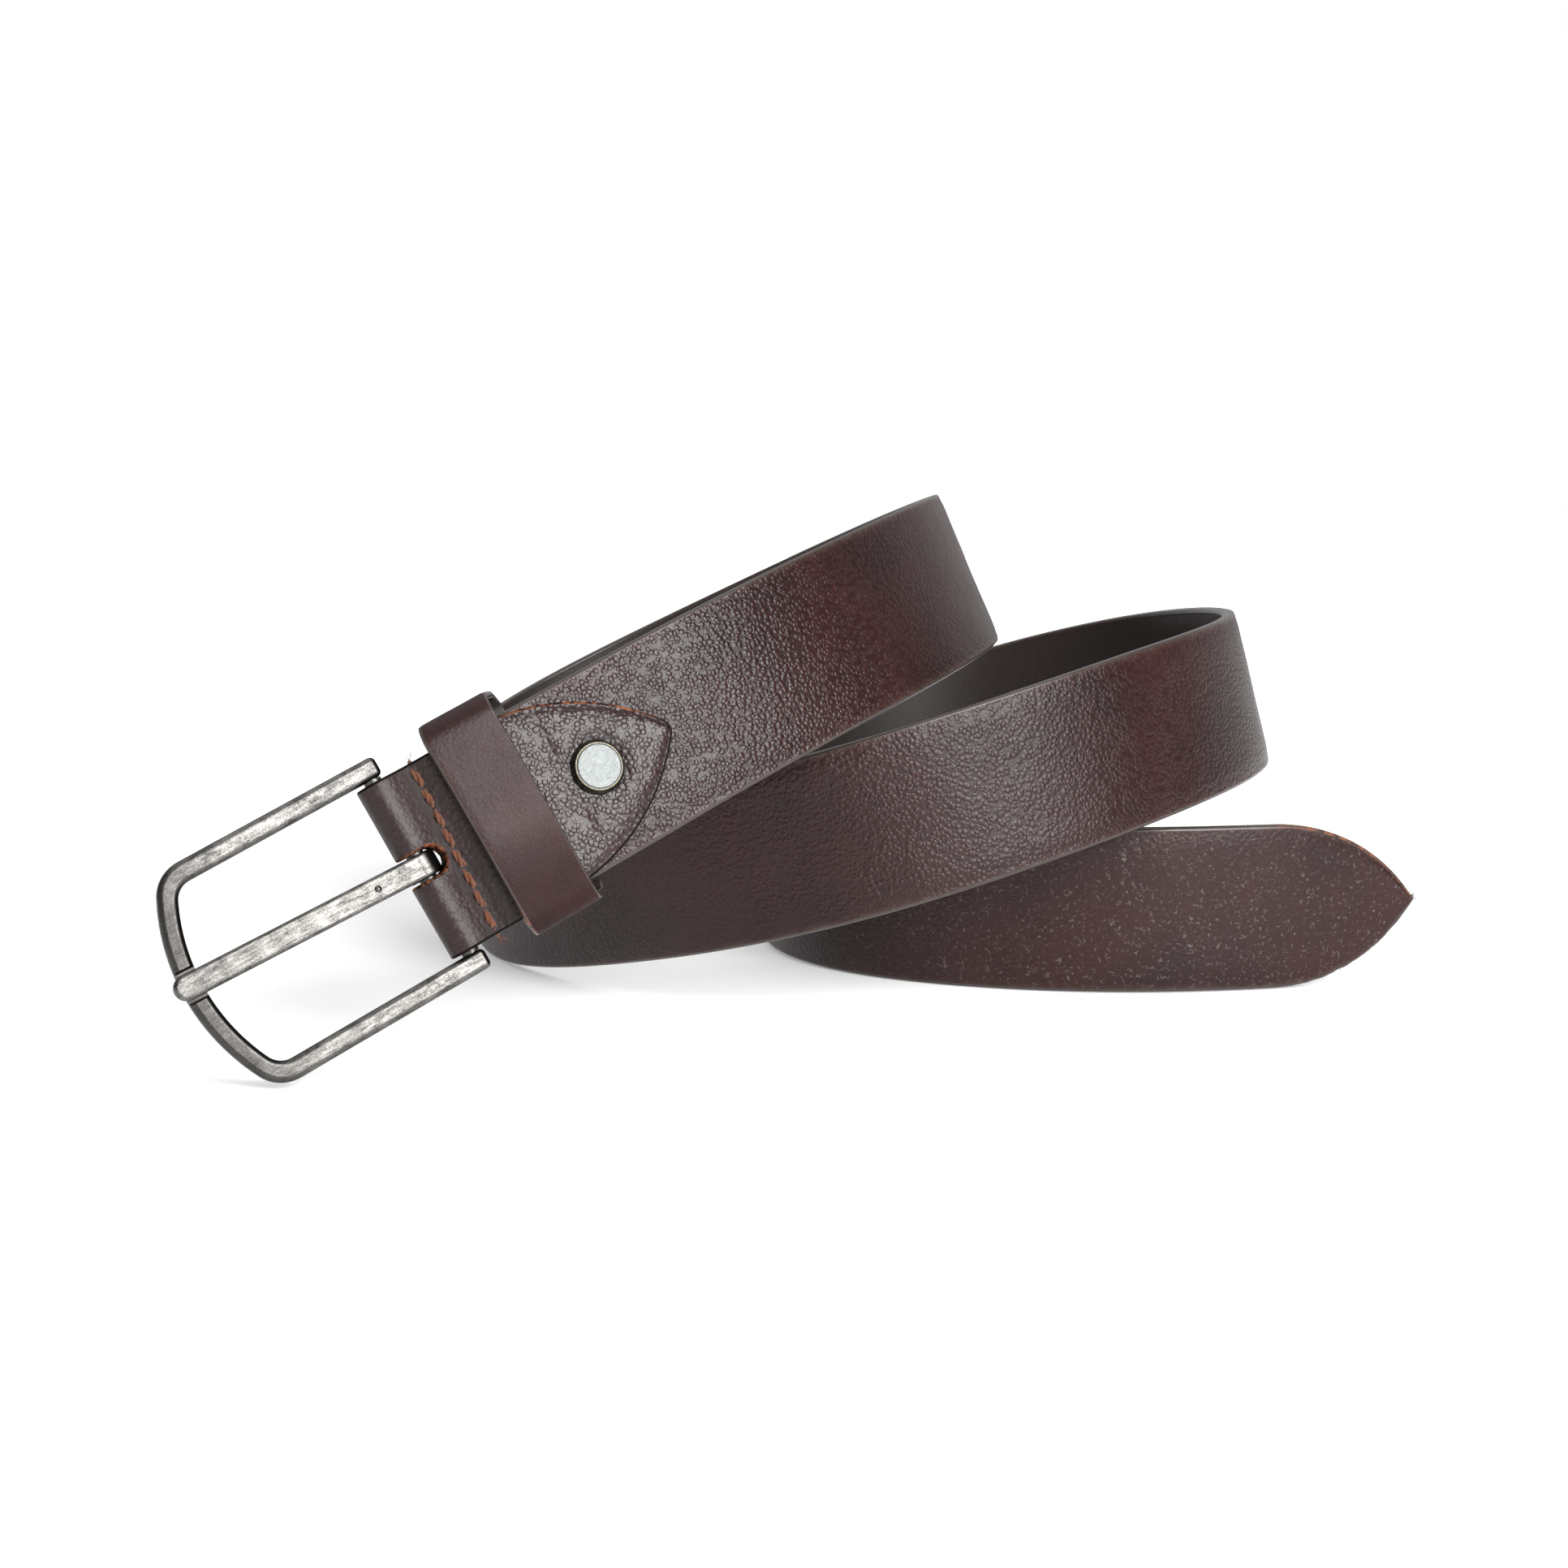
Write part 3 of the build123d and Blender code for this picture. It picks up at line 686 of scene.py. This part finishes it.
def stitch_line(middle, side):
    """The arc of one stitch over the seam, from hole to hole, on one side of the fold."""
    f = np.linspace(-1, 1, STITCH_STEPS)
    z = middle + f * STITCH_LENGTH / 2
    rise = PINCH_GAP + CHAPE_LEATHER + STITCH_PROUD - STITCH_DIP * np.abs(f)**3.2
    x = PINCH_X - SEAM_SLANT * z + 0.22 * f
    return np.column_stack([x, side * rise, z])


def twisted(line, ply_radius, twist):
    """Three plies twisted round a line."""
    tangents = unit(np.gradient(line, axis=0))
    first = unit(np.cross(tangents, np.array([1.0, 0.2, 0.1])))
    second = np.cross(tangents, first)
    plies = []
    for ply in range(3):
        phase = 2 * math.pi * ply / 3 + random.uniform(0, 1)
        angle = phase + np.linspace(0, twist, len(line))
        offset = (np.cos(angle)[:, None] * first + np.sin(angle)[:, None] * second) * ply_radius
        plies.append(tube(line + offset, ply_radius * 1.02))
    return plies


def fibre(start, heading, length, radius, curl=0.5):
    """One loose fibre that wanders off in a direction."""
    line = [np.array(start, float)]
    heading = unit(np.array(heading, float))
    steps = 9
    for _ in range(steps):
        heading = unit(heading + curl * 0.4 * np.array([random.uniform(-1, 1) for _ in range(3)]))
        line.append(line[-1] + heading * length / steps)
    return tube(line, np.linspace(radius, radius * 0.4, len(line)), sides=4)


def one_stitch(middle, side):
    """A twisted stitch with its fuzz."""
    line = stitch_line(middle, side)
    line[:, 0] += random.uniform(-0.12, 0.12)
    tubes = twisted(line, random.uniform(0.31, 0.36), random.uniform(3.8, 5.2))
    for _ in range(FUZZ_PER_STITCH):
        place = line[random.randrange(3, 14)] + np.array([0, side * 0.25, 0])
        heading = (random.uniform(-1, 1), side * random.uniform(0.2, 0.8), random.uniform(-1, 1))
        tubes.append(fibre(place, heading, random.uniform(0.5, 1.3), 0.03))
    return tubes


def frayed_end(direction, count, length):
    """The thread's end, from the last hole to the leather's edge, where it frays."""
    z = direction * ((STITCH_COUNT - 1) / 2 * STITCH_PITCH + STITCH_LENGTH / 2)
    knot = np.array([PINCH_X - SEAM_SLANT * z, PINCH_GAP + CHAPE_LEATHER - 0.1, z])
    edge = np.array([knot[0] - 0.3, 0.6, direction * (STRAP_WIDTH / 2 + 0.3)])
    tubes = twisted(np.linspace(knot, edge, 9), 0.22, 3.0)
    for _ in range(count):
        heading = (random.uniform(-0.7, 0.3), random.uniform(-0.1, 0.4), direction)
        tubes.append(fibre(edge, heading, random.uniform(0.4, 1.0) * length, 0.045, 0.9))
    return tubes


def make_stitches(material):
    """The seam's thread: twisted stitches on both sides, with fuzz and frayed ends."""
    tubes = []
    for i in range(STITCH_COUNT):
        middle = (i - (STITCH_COUNT - 1) / 2) * STITCH_PITCH + random.uniform(-0.12, 0.12)
        for side in (1, -1):
            tubes += one_stitch(middle, side)
    tubes += frayed_end(direction=1, count=5, length=3.2)
    tubes += frayed_end(direction=-1, count=12, length=2.6)
    points, faces = join_tubes(tubes)
    make_object("seam_thread", from_bar(points), faces, [0] * len(faces), [material],
                "strap_body", ["chape_stitches"])


def make_tip_fray(ribbon, material):
    """A few torn fibres at the strap's point and along its lower edge."""
    tubes = []
    for _ in range(TIP_FIBRES):
        s = random.uniform(0.0, 1.0)
        height = arch_half(s, 0) * random.uniform(0.2, 1)
        middle, normals = ribbon.sheet(np.array([s]), np.array([height]))
        lift = normals[0] * random.uniform(-1.2, 1.4)
        heading = (0.9, random.uniform(-0.5, 0.5), random.uniform(0.1, 1.2))
        tubes.append(fibre(middle[0] + lift, heading, random.uniform(0.5, 1.6), 0.10, 0.9))
    for _ in range(EDGE_FIBRES):
        s = random.uniform(3.0, 30.0)
        middle, normals = ribbon.sheet(np.array([s]), np.array([-arch_half(s, 0) + 0.15]))
        lift = normals[0] * random.uniform(0.0, 1.5)
        heading = (random.uniform(-0.8, 1.0), random.uniform(-0.5, 0.5), -0.8)
        tubes.append(fibre(middle[0] + lift, heading, random.uniform(0.2, 0.55), 0.06, 0.9))
    points, faces = join_tubes(tubes)
    make_object("tip_fray", points, faces, [0] * len(faces), [material],
                "strap_body", [])


# ---- materials ---------------------------------------------------------------------------

# Colours are linear red, green and blue.
DARK = (0.0128, 0.0034, 0.0031)
LIGHT = (0.0265, 0.0074, 0.0066)
# painted glints near the strap's tip
TIP_GLINT = (0.30, 0.26, 0.24)
WORN_RIM = (0.060, 0.034, 0.028)
EDGE_PAINT = (0.030, 0.020, 0.016)
# Edge paint of the chape's flap, darkened to stand in for the shadow under its rim: partly paint,
# partly painted shadow.
FLAP_PAINT_AND_SHADOW = (0.005, 0.0025, 0.002)
RAW_LEATHER = (0.19, 0.064, 0.030)
FLESH = (0.015, 0.009, 0.008)
THREAD_DARK = (0.030, 0.009, 0.005)
THREAD_LIGHT = (0.22, 0.062, 0.021)
# painted shade on the metal's faces turned inward and back towards the bar
PEWTER_SHADE = (0.016, 0.015, 0.014)
# painted shade towards the buckle's nose
PEWTER_NOSE_SHADE = (0.050, 0.048, 0.045)
PEWTER_DARK = (0.038, 0.037, 0.035)
PEWTER_LIGHT = (0.200, 0.193, 0.182)
ZINC = ((0.14, 0.152, 0.152), (0.29, 0.305, 0.30))
BRASS = ((0.035, 0.031, 0.024), (0.12, 0.108, 0.085))
STEEL = ((0.05, 0.05, 0.048), (0.17, 0.165, 0.155))

# Where the painted shade on the buckle's nose starts and is full, forward of the bar.
NOSE_SHADE_START = 32.0
NOSE_SHADE_END = 44.0


def shade(colour, factor):
    """A colour made lighter or darker by a factor."""
    return tuple(channel * factor for channel in colour)


class Graph:
    """Builds one material's nodes. Every method gives back an output socket."""

    def __init__(self, name, **constants):
        self.material = bpy.data.materials.new(name)
        self.material.use_nodes = True
        self.tree = self.material.node_tree
        self.shader = self.tree.nodes["Principled BSDF"]
        for socket, value in constants.items():
            self.shader.inputs[socket.replace("_", " ")].default_value = value
        self.place = self.node("ShaderNodeTexCoord").outputs["Object"]

    def node(self, kind, inputs=(), **settings):
        made = self.tree.nodes.new(kind)
        for name, value in settings.items():
            setattr(made, name, value)
        for socket, value in dict(inputs).items():
            self.put(made.inputs[socket], value)
        return made

    def put(self, socket, value):
        if isinstance(value, bpy.types.NodeSocket):
            self.tree.links.new(value, socket)
        else:
            socket.default_value = value

    def set(self, socket, value):
        self.put(self.shader.inputs[socket], value)

    def mask(self, name):
        return self.node("ShaderNodeAttribute", attribute_name=name).outputs["Fac"]

    def noise(self, size, detail=3.0, roughness=0.5, place=None):
        """Noise with features of about that many millimetres."""
        made = self.node("ShaderNodeTexNoise", {
            "Vector": place or self.place, "Scale": 1.0 / (size * MM), "Detail": detail,
            "Roughness": roughness})
        return made.outputs["Fac"]

    def cells(self, size, feature, place):
        """Voronoi cells of about that many millimetres."""
        inputs = {"Vector": place, "Scale": 1.0 / (size * MM)}
        return self.node("ShaderNodeTexVoronoi", inputs, feature=feature).outputs["Distance"]

    def math(self, operation, a, b=0.0, clamp=False):
        made = self.node("ShaderNodeMath", operation=operation, use_clamp=clamp)
        self.put(made.inputs[0], a)
        self.put(made.inputs[1], b)
        return made.outputs[0]

    def span(self, value, low, high, to_low=0.0, to_high=1.0):
        """value from low..high to to_low..to_high, held at both ends."""
        return self.node("ShaderNodeMapRange", {
            "Value": value, "From Min": low, "From Max": high, "To Min": to_low, "To Max": to_high},
            clamp=True).outputs["Result"]

    def mix(self, factor, a, b):
        made = self.node("ShaderNodeMix", data_type="RGBA")
        for socket, value in ((0, factor), (6, a), (7, b)):
            self.put(made.inputs[socket], (*value, 1.0) if isinstance(value, tuple) else value)
        return made.outputs[2]

    def shift(self, amount, size):
        """The object's coordinates, wobbled by noise."""
        wobble = self.node("ShaderNodeTexNoise", {"Vector": self.place, "Scale": 1.0 / (size * MM)})
        centred = self.node("ShaderNodeVectorMath",
                            {0: wobble.outputs["Color"], 1: (0.5, 0.5, 0.5)},
                            operation="SUBTRACT").outputs[0]
        scaled = self.node("ShaderNodeVectorMath", {0: centred, "Scale": amount * MM},
                           operation="SCALE").outputs[0]
        return self.node("ShaderNodeVectorMath", {0: self.place, 1: scaled},
                         operation="ADD").outputs[0]

    def along(self, vector, axis):
        """How far a vector reaches along an axis."""
        made = self.node("ShaderNodeVectorMath", {0: vector, 1: tuple(axis)},
                         operation="DOT_PRODUCT")
        return made.outputs["Value"]

    def drawn_out(self, axes, share):
        """The object's coordinates along three axes, with the first one shrunk to a share."""
        lengths = [self.along(self.place, axis * factor)
                   for axis, factor in zip(axes, (share, 1.0, 1.0))]
        return self.node("ShaderNodeCombineXYZ", dict(enumerate(lengths))).outputs[0]

    def bump(self, height, depth):
        """Relief of that many millimetres, on the shader's normal."""
        made = self.node("ShaderNodeBump", {"Height": height, "Distance": depth * MM,
                                            "Strength": 1.0})
        self.set("Normal", made.outputs["Normal"])


def grain_cover(g, patches):
    """How strongly the grain shows: uneven, stronger by the rivet, weaker by the tip."""
    uneven = g.math("ADD", patches, g.math("MULTIPLY", g.mask("rivet"), 0.22))
    calm = g.math("MAXIMUM", g.math("MULTIPLY", g.mask("tip"), 0.62), g.mask("smooth"))
    return g.math("MULTIPLY", g.span(uneven, 0.32, 0.64, 0.55, 1.0),
                  g.span(calm, 0.0, 1.0, 1.0, 0.12))


def grain_leather(name, dark, light, rim, shine, gloss, pebble, relief):
    """Finished grain leather: rounded pebbles with creases between them, painted shade in the
    creases, partly painted highlight on the pebble tops, and painted glints by the tip.
    """
    g = Graph(name, Specular_IOR_Level=shine)
    place = g.shift(pebble * 0.8, pebble * 1.7)
    borders = g.cells(pebble, "DISTANCE_TO_EDGE", place)
    domes = g.span(g.math("POWER", g.cells(pebble, "F1", place), 2.0), 0.0, 0.42, 1.0, 0.0)
    creases = g.span(borders, 0.0, 0.14)
    fine = g.noise(pebble * 0.35, 3.0, 0.6)
    patches = g.noise(7.0, 4.0, 0.6)
    cover = grain_cover(g, patches)
    hills = g.math("ADD", g.math("MULTIPLY", domes, 0.85), g.math("MULTIPLY", creases, 0.15))
    g.bump(g.math("ADD", g.math("MULTIPLY", hills, cover), g.math("MULTIPLY", fine, 0.08)), relief)

    colour = g.mix(g.span(g.noise(38.0, 3.0, 0.6), 0.36, 0.64), dark, light)
    # Partly wear, partly painted highlight: the pebble tops are made lighter.
    lightened = g.span(g.math("ADD", domes, g.math("MULTIPLY", patches, 0.8)), 0.9, 1.5, 0.0, 0.35)
    colour = g.mix(g.math("MULTIPLY", lightened, cover), colour, shade(light, 1.7))
    # Painted shade: the creases between the pebbles are darkened.
    pit_shade = g.math("MULTIPLY", g.math("SUBTRACT", 1.0, creases), g.math("MULTIPLY", cover, 0.65))
    colour = g.mix(pit_shade, colour, shade(dark, 0.30))
    # Painted glints: light dashes along the cell borders near the tip.
    dashes = g.math("MULTIPLY", g.span(borders, 0.08, 0.03), g.span(g.noise(0.9, 1.0), 0.55, 0.70))
    tip_glints = g.math("MULTIPLY", dashes, g.span(g.mask("tip"), 0.05, 0.9, 0.0, 0.32))
    colour = g.mix(tip_glints, colour, TIP_GLINT)
    # Near the edge the colour runs to the rim colour: wear on the strap and keeper, painted shadow
    # along the chape's flap.
    edge = g.math("MULTIPLY", g.mask("edge"), g.span(g.noise(2.5, 3.0), 0.35, 0.65, 0.15, 0.6))
    g.set("Base Color", g.mix(edge, colour, rim))

    rough = g.span(g.math("ADD", fine, g.math("MULTIPLY", patches, 0.5)), 0.45, 1.05,
                   gloss - 0.04, gloss + 0.08)
    rough = g.math("SUBTRACT", rough, g.math("MULTIPLY", g.mask("rivet"), 0.05))
    rough = g.math("ADD", rough, g.math("MULTIPLY", g.mask("smooth"), 0.12))
    rough = g.math("ADD", rough, g.math("MULTIPLY", g.mask("valley"), 0.22), clamp=True)
    g.set("Roughness", rough)
    return g


def edge_paint(name, paint, gloss):
    """The painted edge of cut leather, with the raw orange core showing where it is worn."""
    g = Graph(name, Specular_IOR_Level=gloss, Coat_Weight=gloss, Coat_Roughness=0.22)
    lightened = g.math("MULTIPLY", g.mask("raw"), g.span(g.noise(1.4, 4.0, 0.7), 0.42, 0.62))
    tone = g.mix(g.noise(5.0, 3.0), shade(paint, 0.7), shade(paint, 1.35))
    g.set("Base Color", g.mix(lightened, tone, RAW_LEATHER))
    g.set("Roughness", g.span(lightened, 0.0, 1.0, 0.55 - 0.4 * gloss, 0.85))
    g.bump(g.noise(0.7, 5.0, 0.65), 0.10)
    return g.material


def flesh_side(name, colour):
    """The dark, smoothed inner side."""
    g = Graph(name, Specular_IOR_Level=0.4)
    fibres = g.noise(0.6, 5.0, 0.65)
    g.set("Base Color", g.mix(g.noise(25.0, 3.0), shade(colour, 0.75), shade(colour, 1.3)))
    g.set("Roughness", g.span(fibres, 0.3, 0.7, 0.42, 0.6))
    g.bump(fibres, 0.05)
    return g.material


def paint_crease_shade(chape):
    """Painted shade in the chape's valley by the seam, and in the ring that the rivet presses in.
    """
    crease_shade = chape.math("MAXIMUM", chape.math("MULTIPLY", chape.mask("valley"), 0.42),
                      chape.math("MULTIPLY", chape.mask("ring"), 0.55))
    unshaded = chape.shader.inputs["Base Color"].links[0].from_socket
    chape.set("Base Color", chape.mix(crease_shade, unshaded, shade(DARK, 0.25)))


def leather_materials():
    """Outer face, edge and inner side for the strap, the chape and the keeper."""
    edge = edge_paint("edge_paint", EDGE_PAINT, 0.40)
    # The flap's rim faces: dark edge paint that is also painted shadow in the gap under the flap.
    flap_edge = edge_paint("flap_edge", FLAP_PAINT_AND_SHADOW, 0.05)
    inner = flesh_side("flesh_side", FLESH)
    strap = grain_leather("strap_grain", DARK, LIGHT, WORN_RIM,
                          shine=0.30, gloss=0.33, pebble=0.95, relief=0.105)
    # Along its rim the chape's face runs to the same dark colour, a painted shadow.
    chape = grain_leather("chape_grain", DARK, LIGHT, FLAP_PAINT_AND_SHADOW,
                          shine=0.42, gloss=0.36, pebble=1.05, relief=0.115)
    # painted shade in the chape's valley and round the rivet's ring
    paint_crease_shade(chape)
    keeper = grain_leather("keeper_grain", shade(DARK, 1.25), shade(LIGHT, 1.25), WORN_RIM,
                           shine=0.23, gloss=0.37, pebble=0.85, relief=0.075)
    return {
        "strap": [strap.material, edge, inner],
        "chape": [chape.material, flap_edge, inner],
        "keeper": [keeper.material, edge, inner],
    }


def thread_material():
    """Waxed thread with fine fibres."""
    g = Graph("waxed_thread", Specular_IOR_Level=0.3, Sheen_Weight=0.3)
    g.set("Base Color", g.mix(g.noise(0.5, 4.0, 0.7), THREAD_DARK, THREAD_LIGHT))
    g.set("Roughness", g.span(g.noise(0.2, 2.0), 0.3, 0.7, 0.6, 0.85))
    g.bump(g.noise(0.12, 3.0), 0.05)
    return g.material


def pewter(name, nose_shade):
    """Antique cast metal: bright faces turned outward, painted shade on the faces turned inward and
    back towards the bar, more painted shade towards the nose.
    """
    g = Graph(name, Metallic=1.0)
    forward, outward, _ = BAR_AXES
    normal = g.node("ShaderNodeTexCoord").outputs["Normal"]
    # Painted shade: faces turned inward and faces turned back towards the bar take the shade
    # colour.
    lit_faces = g.math("MULTIPLY", g.span(g.along(normal, outward), 0.0, 0.7),
                        g.span(g.along(normal, forward), -0.42, -0.08))
    speckle = g.noise(0.30, 4.0, 0.75)
    streaks = g.noise(0.5, 4.0, 0.7, place=g.drawn_out(BAR_AXES, 0.14))
    clouds = g.noise(3.5, 4.0, 0.6)
    scratches = g.math("ADD", speckle, streaks)
    lightened = g.span(g.math("ADD", scratches, g.math("MULTIPLY", clouds, 0.8)), 1.12, 1.62)
    # Painted shade: the tone darkens towards the buckle's nose.
    bar = float(forward @ np.array(BAR_POINT))
    nose = g.span(g.along(g.place, forward), (bar + NOSE_SHADE_START) * MM,
                  (bar + NOSE_SHADE_END) * MM, 0.0, nose_shade)
    tone = g.mix(nose, g.mix(lightened, PEWTER_DARK, PEWTER_LIGHT), PEWTER_NOSE_SHADE)
    g.set("Base Color", g.mix(lit_faces, PEWTER_SHADE, tone))
    g.set("Roughness", g.span(lightened, 0.0, 1.0, 0.46, 0.32))
    g.bump(scratches, 0.025)
    return g.material


def plated(name, tones, rough, mottle_size):
    """Plated metal between a dark and a light tone, speckled and slightly cloudy."""
    g = Graph(name, Metallic=1.0)
    cloud = g.noise(mottle_size, 5.0, 0.65)
    speckle = g.noise(mottle_size * 0.25, 3.0, 0.6)
    g.set("Base Color", g.mix(g.span(g.math("ADD", cloud, speckle), 0.75, 1.25), *tones))
    g.set("Roughness", g.span(cloud, 0.3, 0.7, rough - 0.08, rough + 0.1))
    g.bump(speckle, 0.02)
    return g.material


def finish_metal():
    """Gives each metal CAD node its finish."""
    cast = pewter("antique_pewter", nose_shade=0.8)
    prong_pewter = pewter("pewter_without_nose_shade", nose_shade=0.0)
    zinc = plated("bright_zinc", ZINC, rough=0.58, mottle_size=1.6)
    brass = plated("aged_brass", BRASS, rough=0.36, mottle_size=1.1)
    steel = plated("drawn_steel", STEEL, rough=0.40, mottle_size=1.5)
    finishes = {"buckle_frame": cast, "prong": prong_pewter, "heel_bar": steel, "rivet_washer": brass,
                "rivet_post": zinc, "rivet_screw": zinc, "keeper_staple": steel}
    for name, material in finishes.items():
        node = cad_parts[name]
        node.data.materials.clear()
        node.data.materials.append(material)


# ---- the studio --------------------------------------------------------------------------

CAMERA_TARGET = (-12, 21, 39.26)
CAMERA_DISTANCE = 600.0
CAMERA_ELEVATION = 6.193
CAMERA_LENS = 60.79
SENSOR = 36.0

# The lights' places and targets are in metres. The world is dim in front and bright behind.
TOP_LIGHT = (-0.1, 0.05, 1.0)
KEY_LIGHT = (0.45, -0.75, 0.46)
KEY_TARGET = (0.0, -0.05, 0.05)
LEFT_FILL = (-0.60, -0.60, 0.50)
FILL_TARGET = (0.0, 0.0, 0.04)
WORLD_FRONT = 0.05
WORLD_BACK = 0.58

FLOOR_SIZE = 8.0
FLOOR_GAP = 0.0003          # the floor lies this far below the belt
FLOOR_GLOW_NEAR = 0.2       # the floor glows dimly inside the first distance from the middle
FLOOR_GLOW_FAR = 0.8        # and fully outside the second, so no horizon shows


def make_camera():
    """The camera, level and square on, a little above the belt."""
    elevation = math.radians(CAMERA_ELEVATION)
    back = Vector((0, -math.cos(elevation), math.sin(elevation)))
    data = bpy.data.cameras.new("camera")
    data.lens = CAMERA_LENS
    data.sensor_width = SENSOR
    data.clip_start = 0.01
    data.clip_end = 50
    camera = bpy.data.objects.new("camera", data)
    camera.location = (Vector(CAMERA_TARGET) + back * CAMERA_DISTANCE) * MM
    camera.rotation_euler = (-back).to_track_quat("-Z", "Y").to_euler()
    bpy.context.scene.collection.objects.link(camera)
    bpy.context.scene.camera = camera


def area_light(name, place, target, size, power):
    """A soft square light at a place, aimed at a target, in metres."""
    data = bpy.data.lights.new(name, "AREA")
    data.shape = "SQUARE"
    data.size = size
    data.energy = power
    light = bpy.data.objects.new(name, data)
    light.location = place
    aim = Vector(target) - Vector(place)
    light.rotation_euler = aim.to_track_quat("-Z", "Y").to_euler()
    bpy.context.scene.collection.objects.link(light)


def sun_light(name, place, angle, strength):
    """A broad, even light from a direction."""
    data = bpy.data.lights.new(name, "SUN")
    data.angle = math.radians(angle)
    data.energy = strength
    light = bpy.data.objects.new(name, data)
    light.location = place
    light.rotation_euler = (-Vector(place)).to_track_quat("-Z", "Y").to_euler()
    bpy.context.scene.collection.objects.link(light)


def make_world():
    """White surroundings, dimmer on the front side, where a studio is dark."""
    world = bpy.data.worlds.new("studio")
    world.use_nodes = True
    tree = world.node_tree
    background = tree.nodes["Background"]
    background.inputs["Color"].default_value = (1.0, 1.0, 1.0, 1.0)
    heading = tree.nodes.new("ShaderNodeSeparateXYZ")
    tree.links.new(tree.nodes.new("ShaderNodeTexCoord").outputs["Generated"], heading.inputs[0])
    dim = tree.nodes.new("ShaderNodeMapRange")
    for socket, value in (("From Min", -0.2), ("From Max", 0.7),
                          ("To Min", WORLD_FRONT), ("To Max", WORLD_BACK)):
        dim.inputs[socket].default_value = value
    tree.links.new(heading.outputs["Y"], dim.inputs["Value"])
    seen = tree.nodes.new("ShaderNodeLightPath").outputs["Is Camera Ray"]
    strength = tree.nodes.new("ShaderNodeMath")
    strength.operation = "MAXIMUM"
    tree.links.new(seen, strength.inputs[0])
    tree.links.new(dim.outputs["Result"], strength.inputs[1])
    tree.links.new(strength.outputs[0], background.inputs["Strength"])
    bpy.context.scene.world = world


def make_floor():
    """A pale floor that glows, dimly by the belt and fully where it meets the surroundings."""
    bpy.ops.mesh.primitive_plane_add(size=FLOOR_SIZE, location=(0, 0, -FLOOR_GAP))
    floor = bpy.context.object
    floor.name = "floor"
    g = Graph("pale_floor", Roughness=0.8, Specular_IOR_Level=0.1, Emission_Strength=1.0)
    g.set("Base Color", g.mix(g.noise(400.0), (0.90, 0.90, 0.90), (0.93, 0.93, 0.93)))
    reach = g.node("ShaderNodeVectorMath", {0: g.place}, operation="LENGTH").outputs["Value"]
    far = g.span(reach, FLOOR_GLOW_NEAR, FLOOR_GLOW_FAR)
    g.set("Emission Color", g.mix(far, (0.29, 0.29, 0.29), (1.0, 1.0, 1.0)))
    floor.data.materials.append(g.material)


def make_studio():
    """White surroundings, a pale floor, an even top light, a key light and a weak fill."""
    bpy.context.scene.view_settings.view_transform = "Standard"
    make_world()
    sun_light("top_light", TOP_LIGHT, angle=70, strength=1.2)
    area_light("key_light", KEY_LIGHT, KEY_TARGET, size=0.55, power=14.5)
    area_light("left_fill", LEFT_FILL, FILL_TARGET, size=0.6, power=0.4)
    make_floor()


# ---- the scene ---------------------------------------------------------------------------

def main():
    """Build every piece and the studio."""
    make_camera()
    make_studio()
    leather = leather_materials()
    ribbon = Ribbon()
    make_strap(ribbon, leather["strap"])
    make_chape(leather["chape"])
    make_keeper(leather["keeper"])
    make_stitches(thread_material())
    make_tip_fray(ribbon, leather["strap"][1])
    finish_metal()


main()
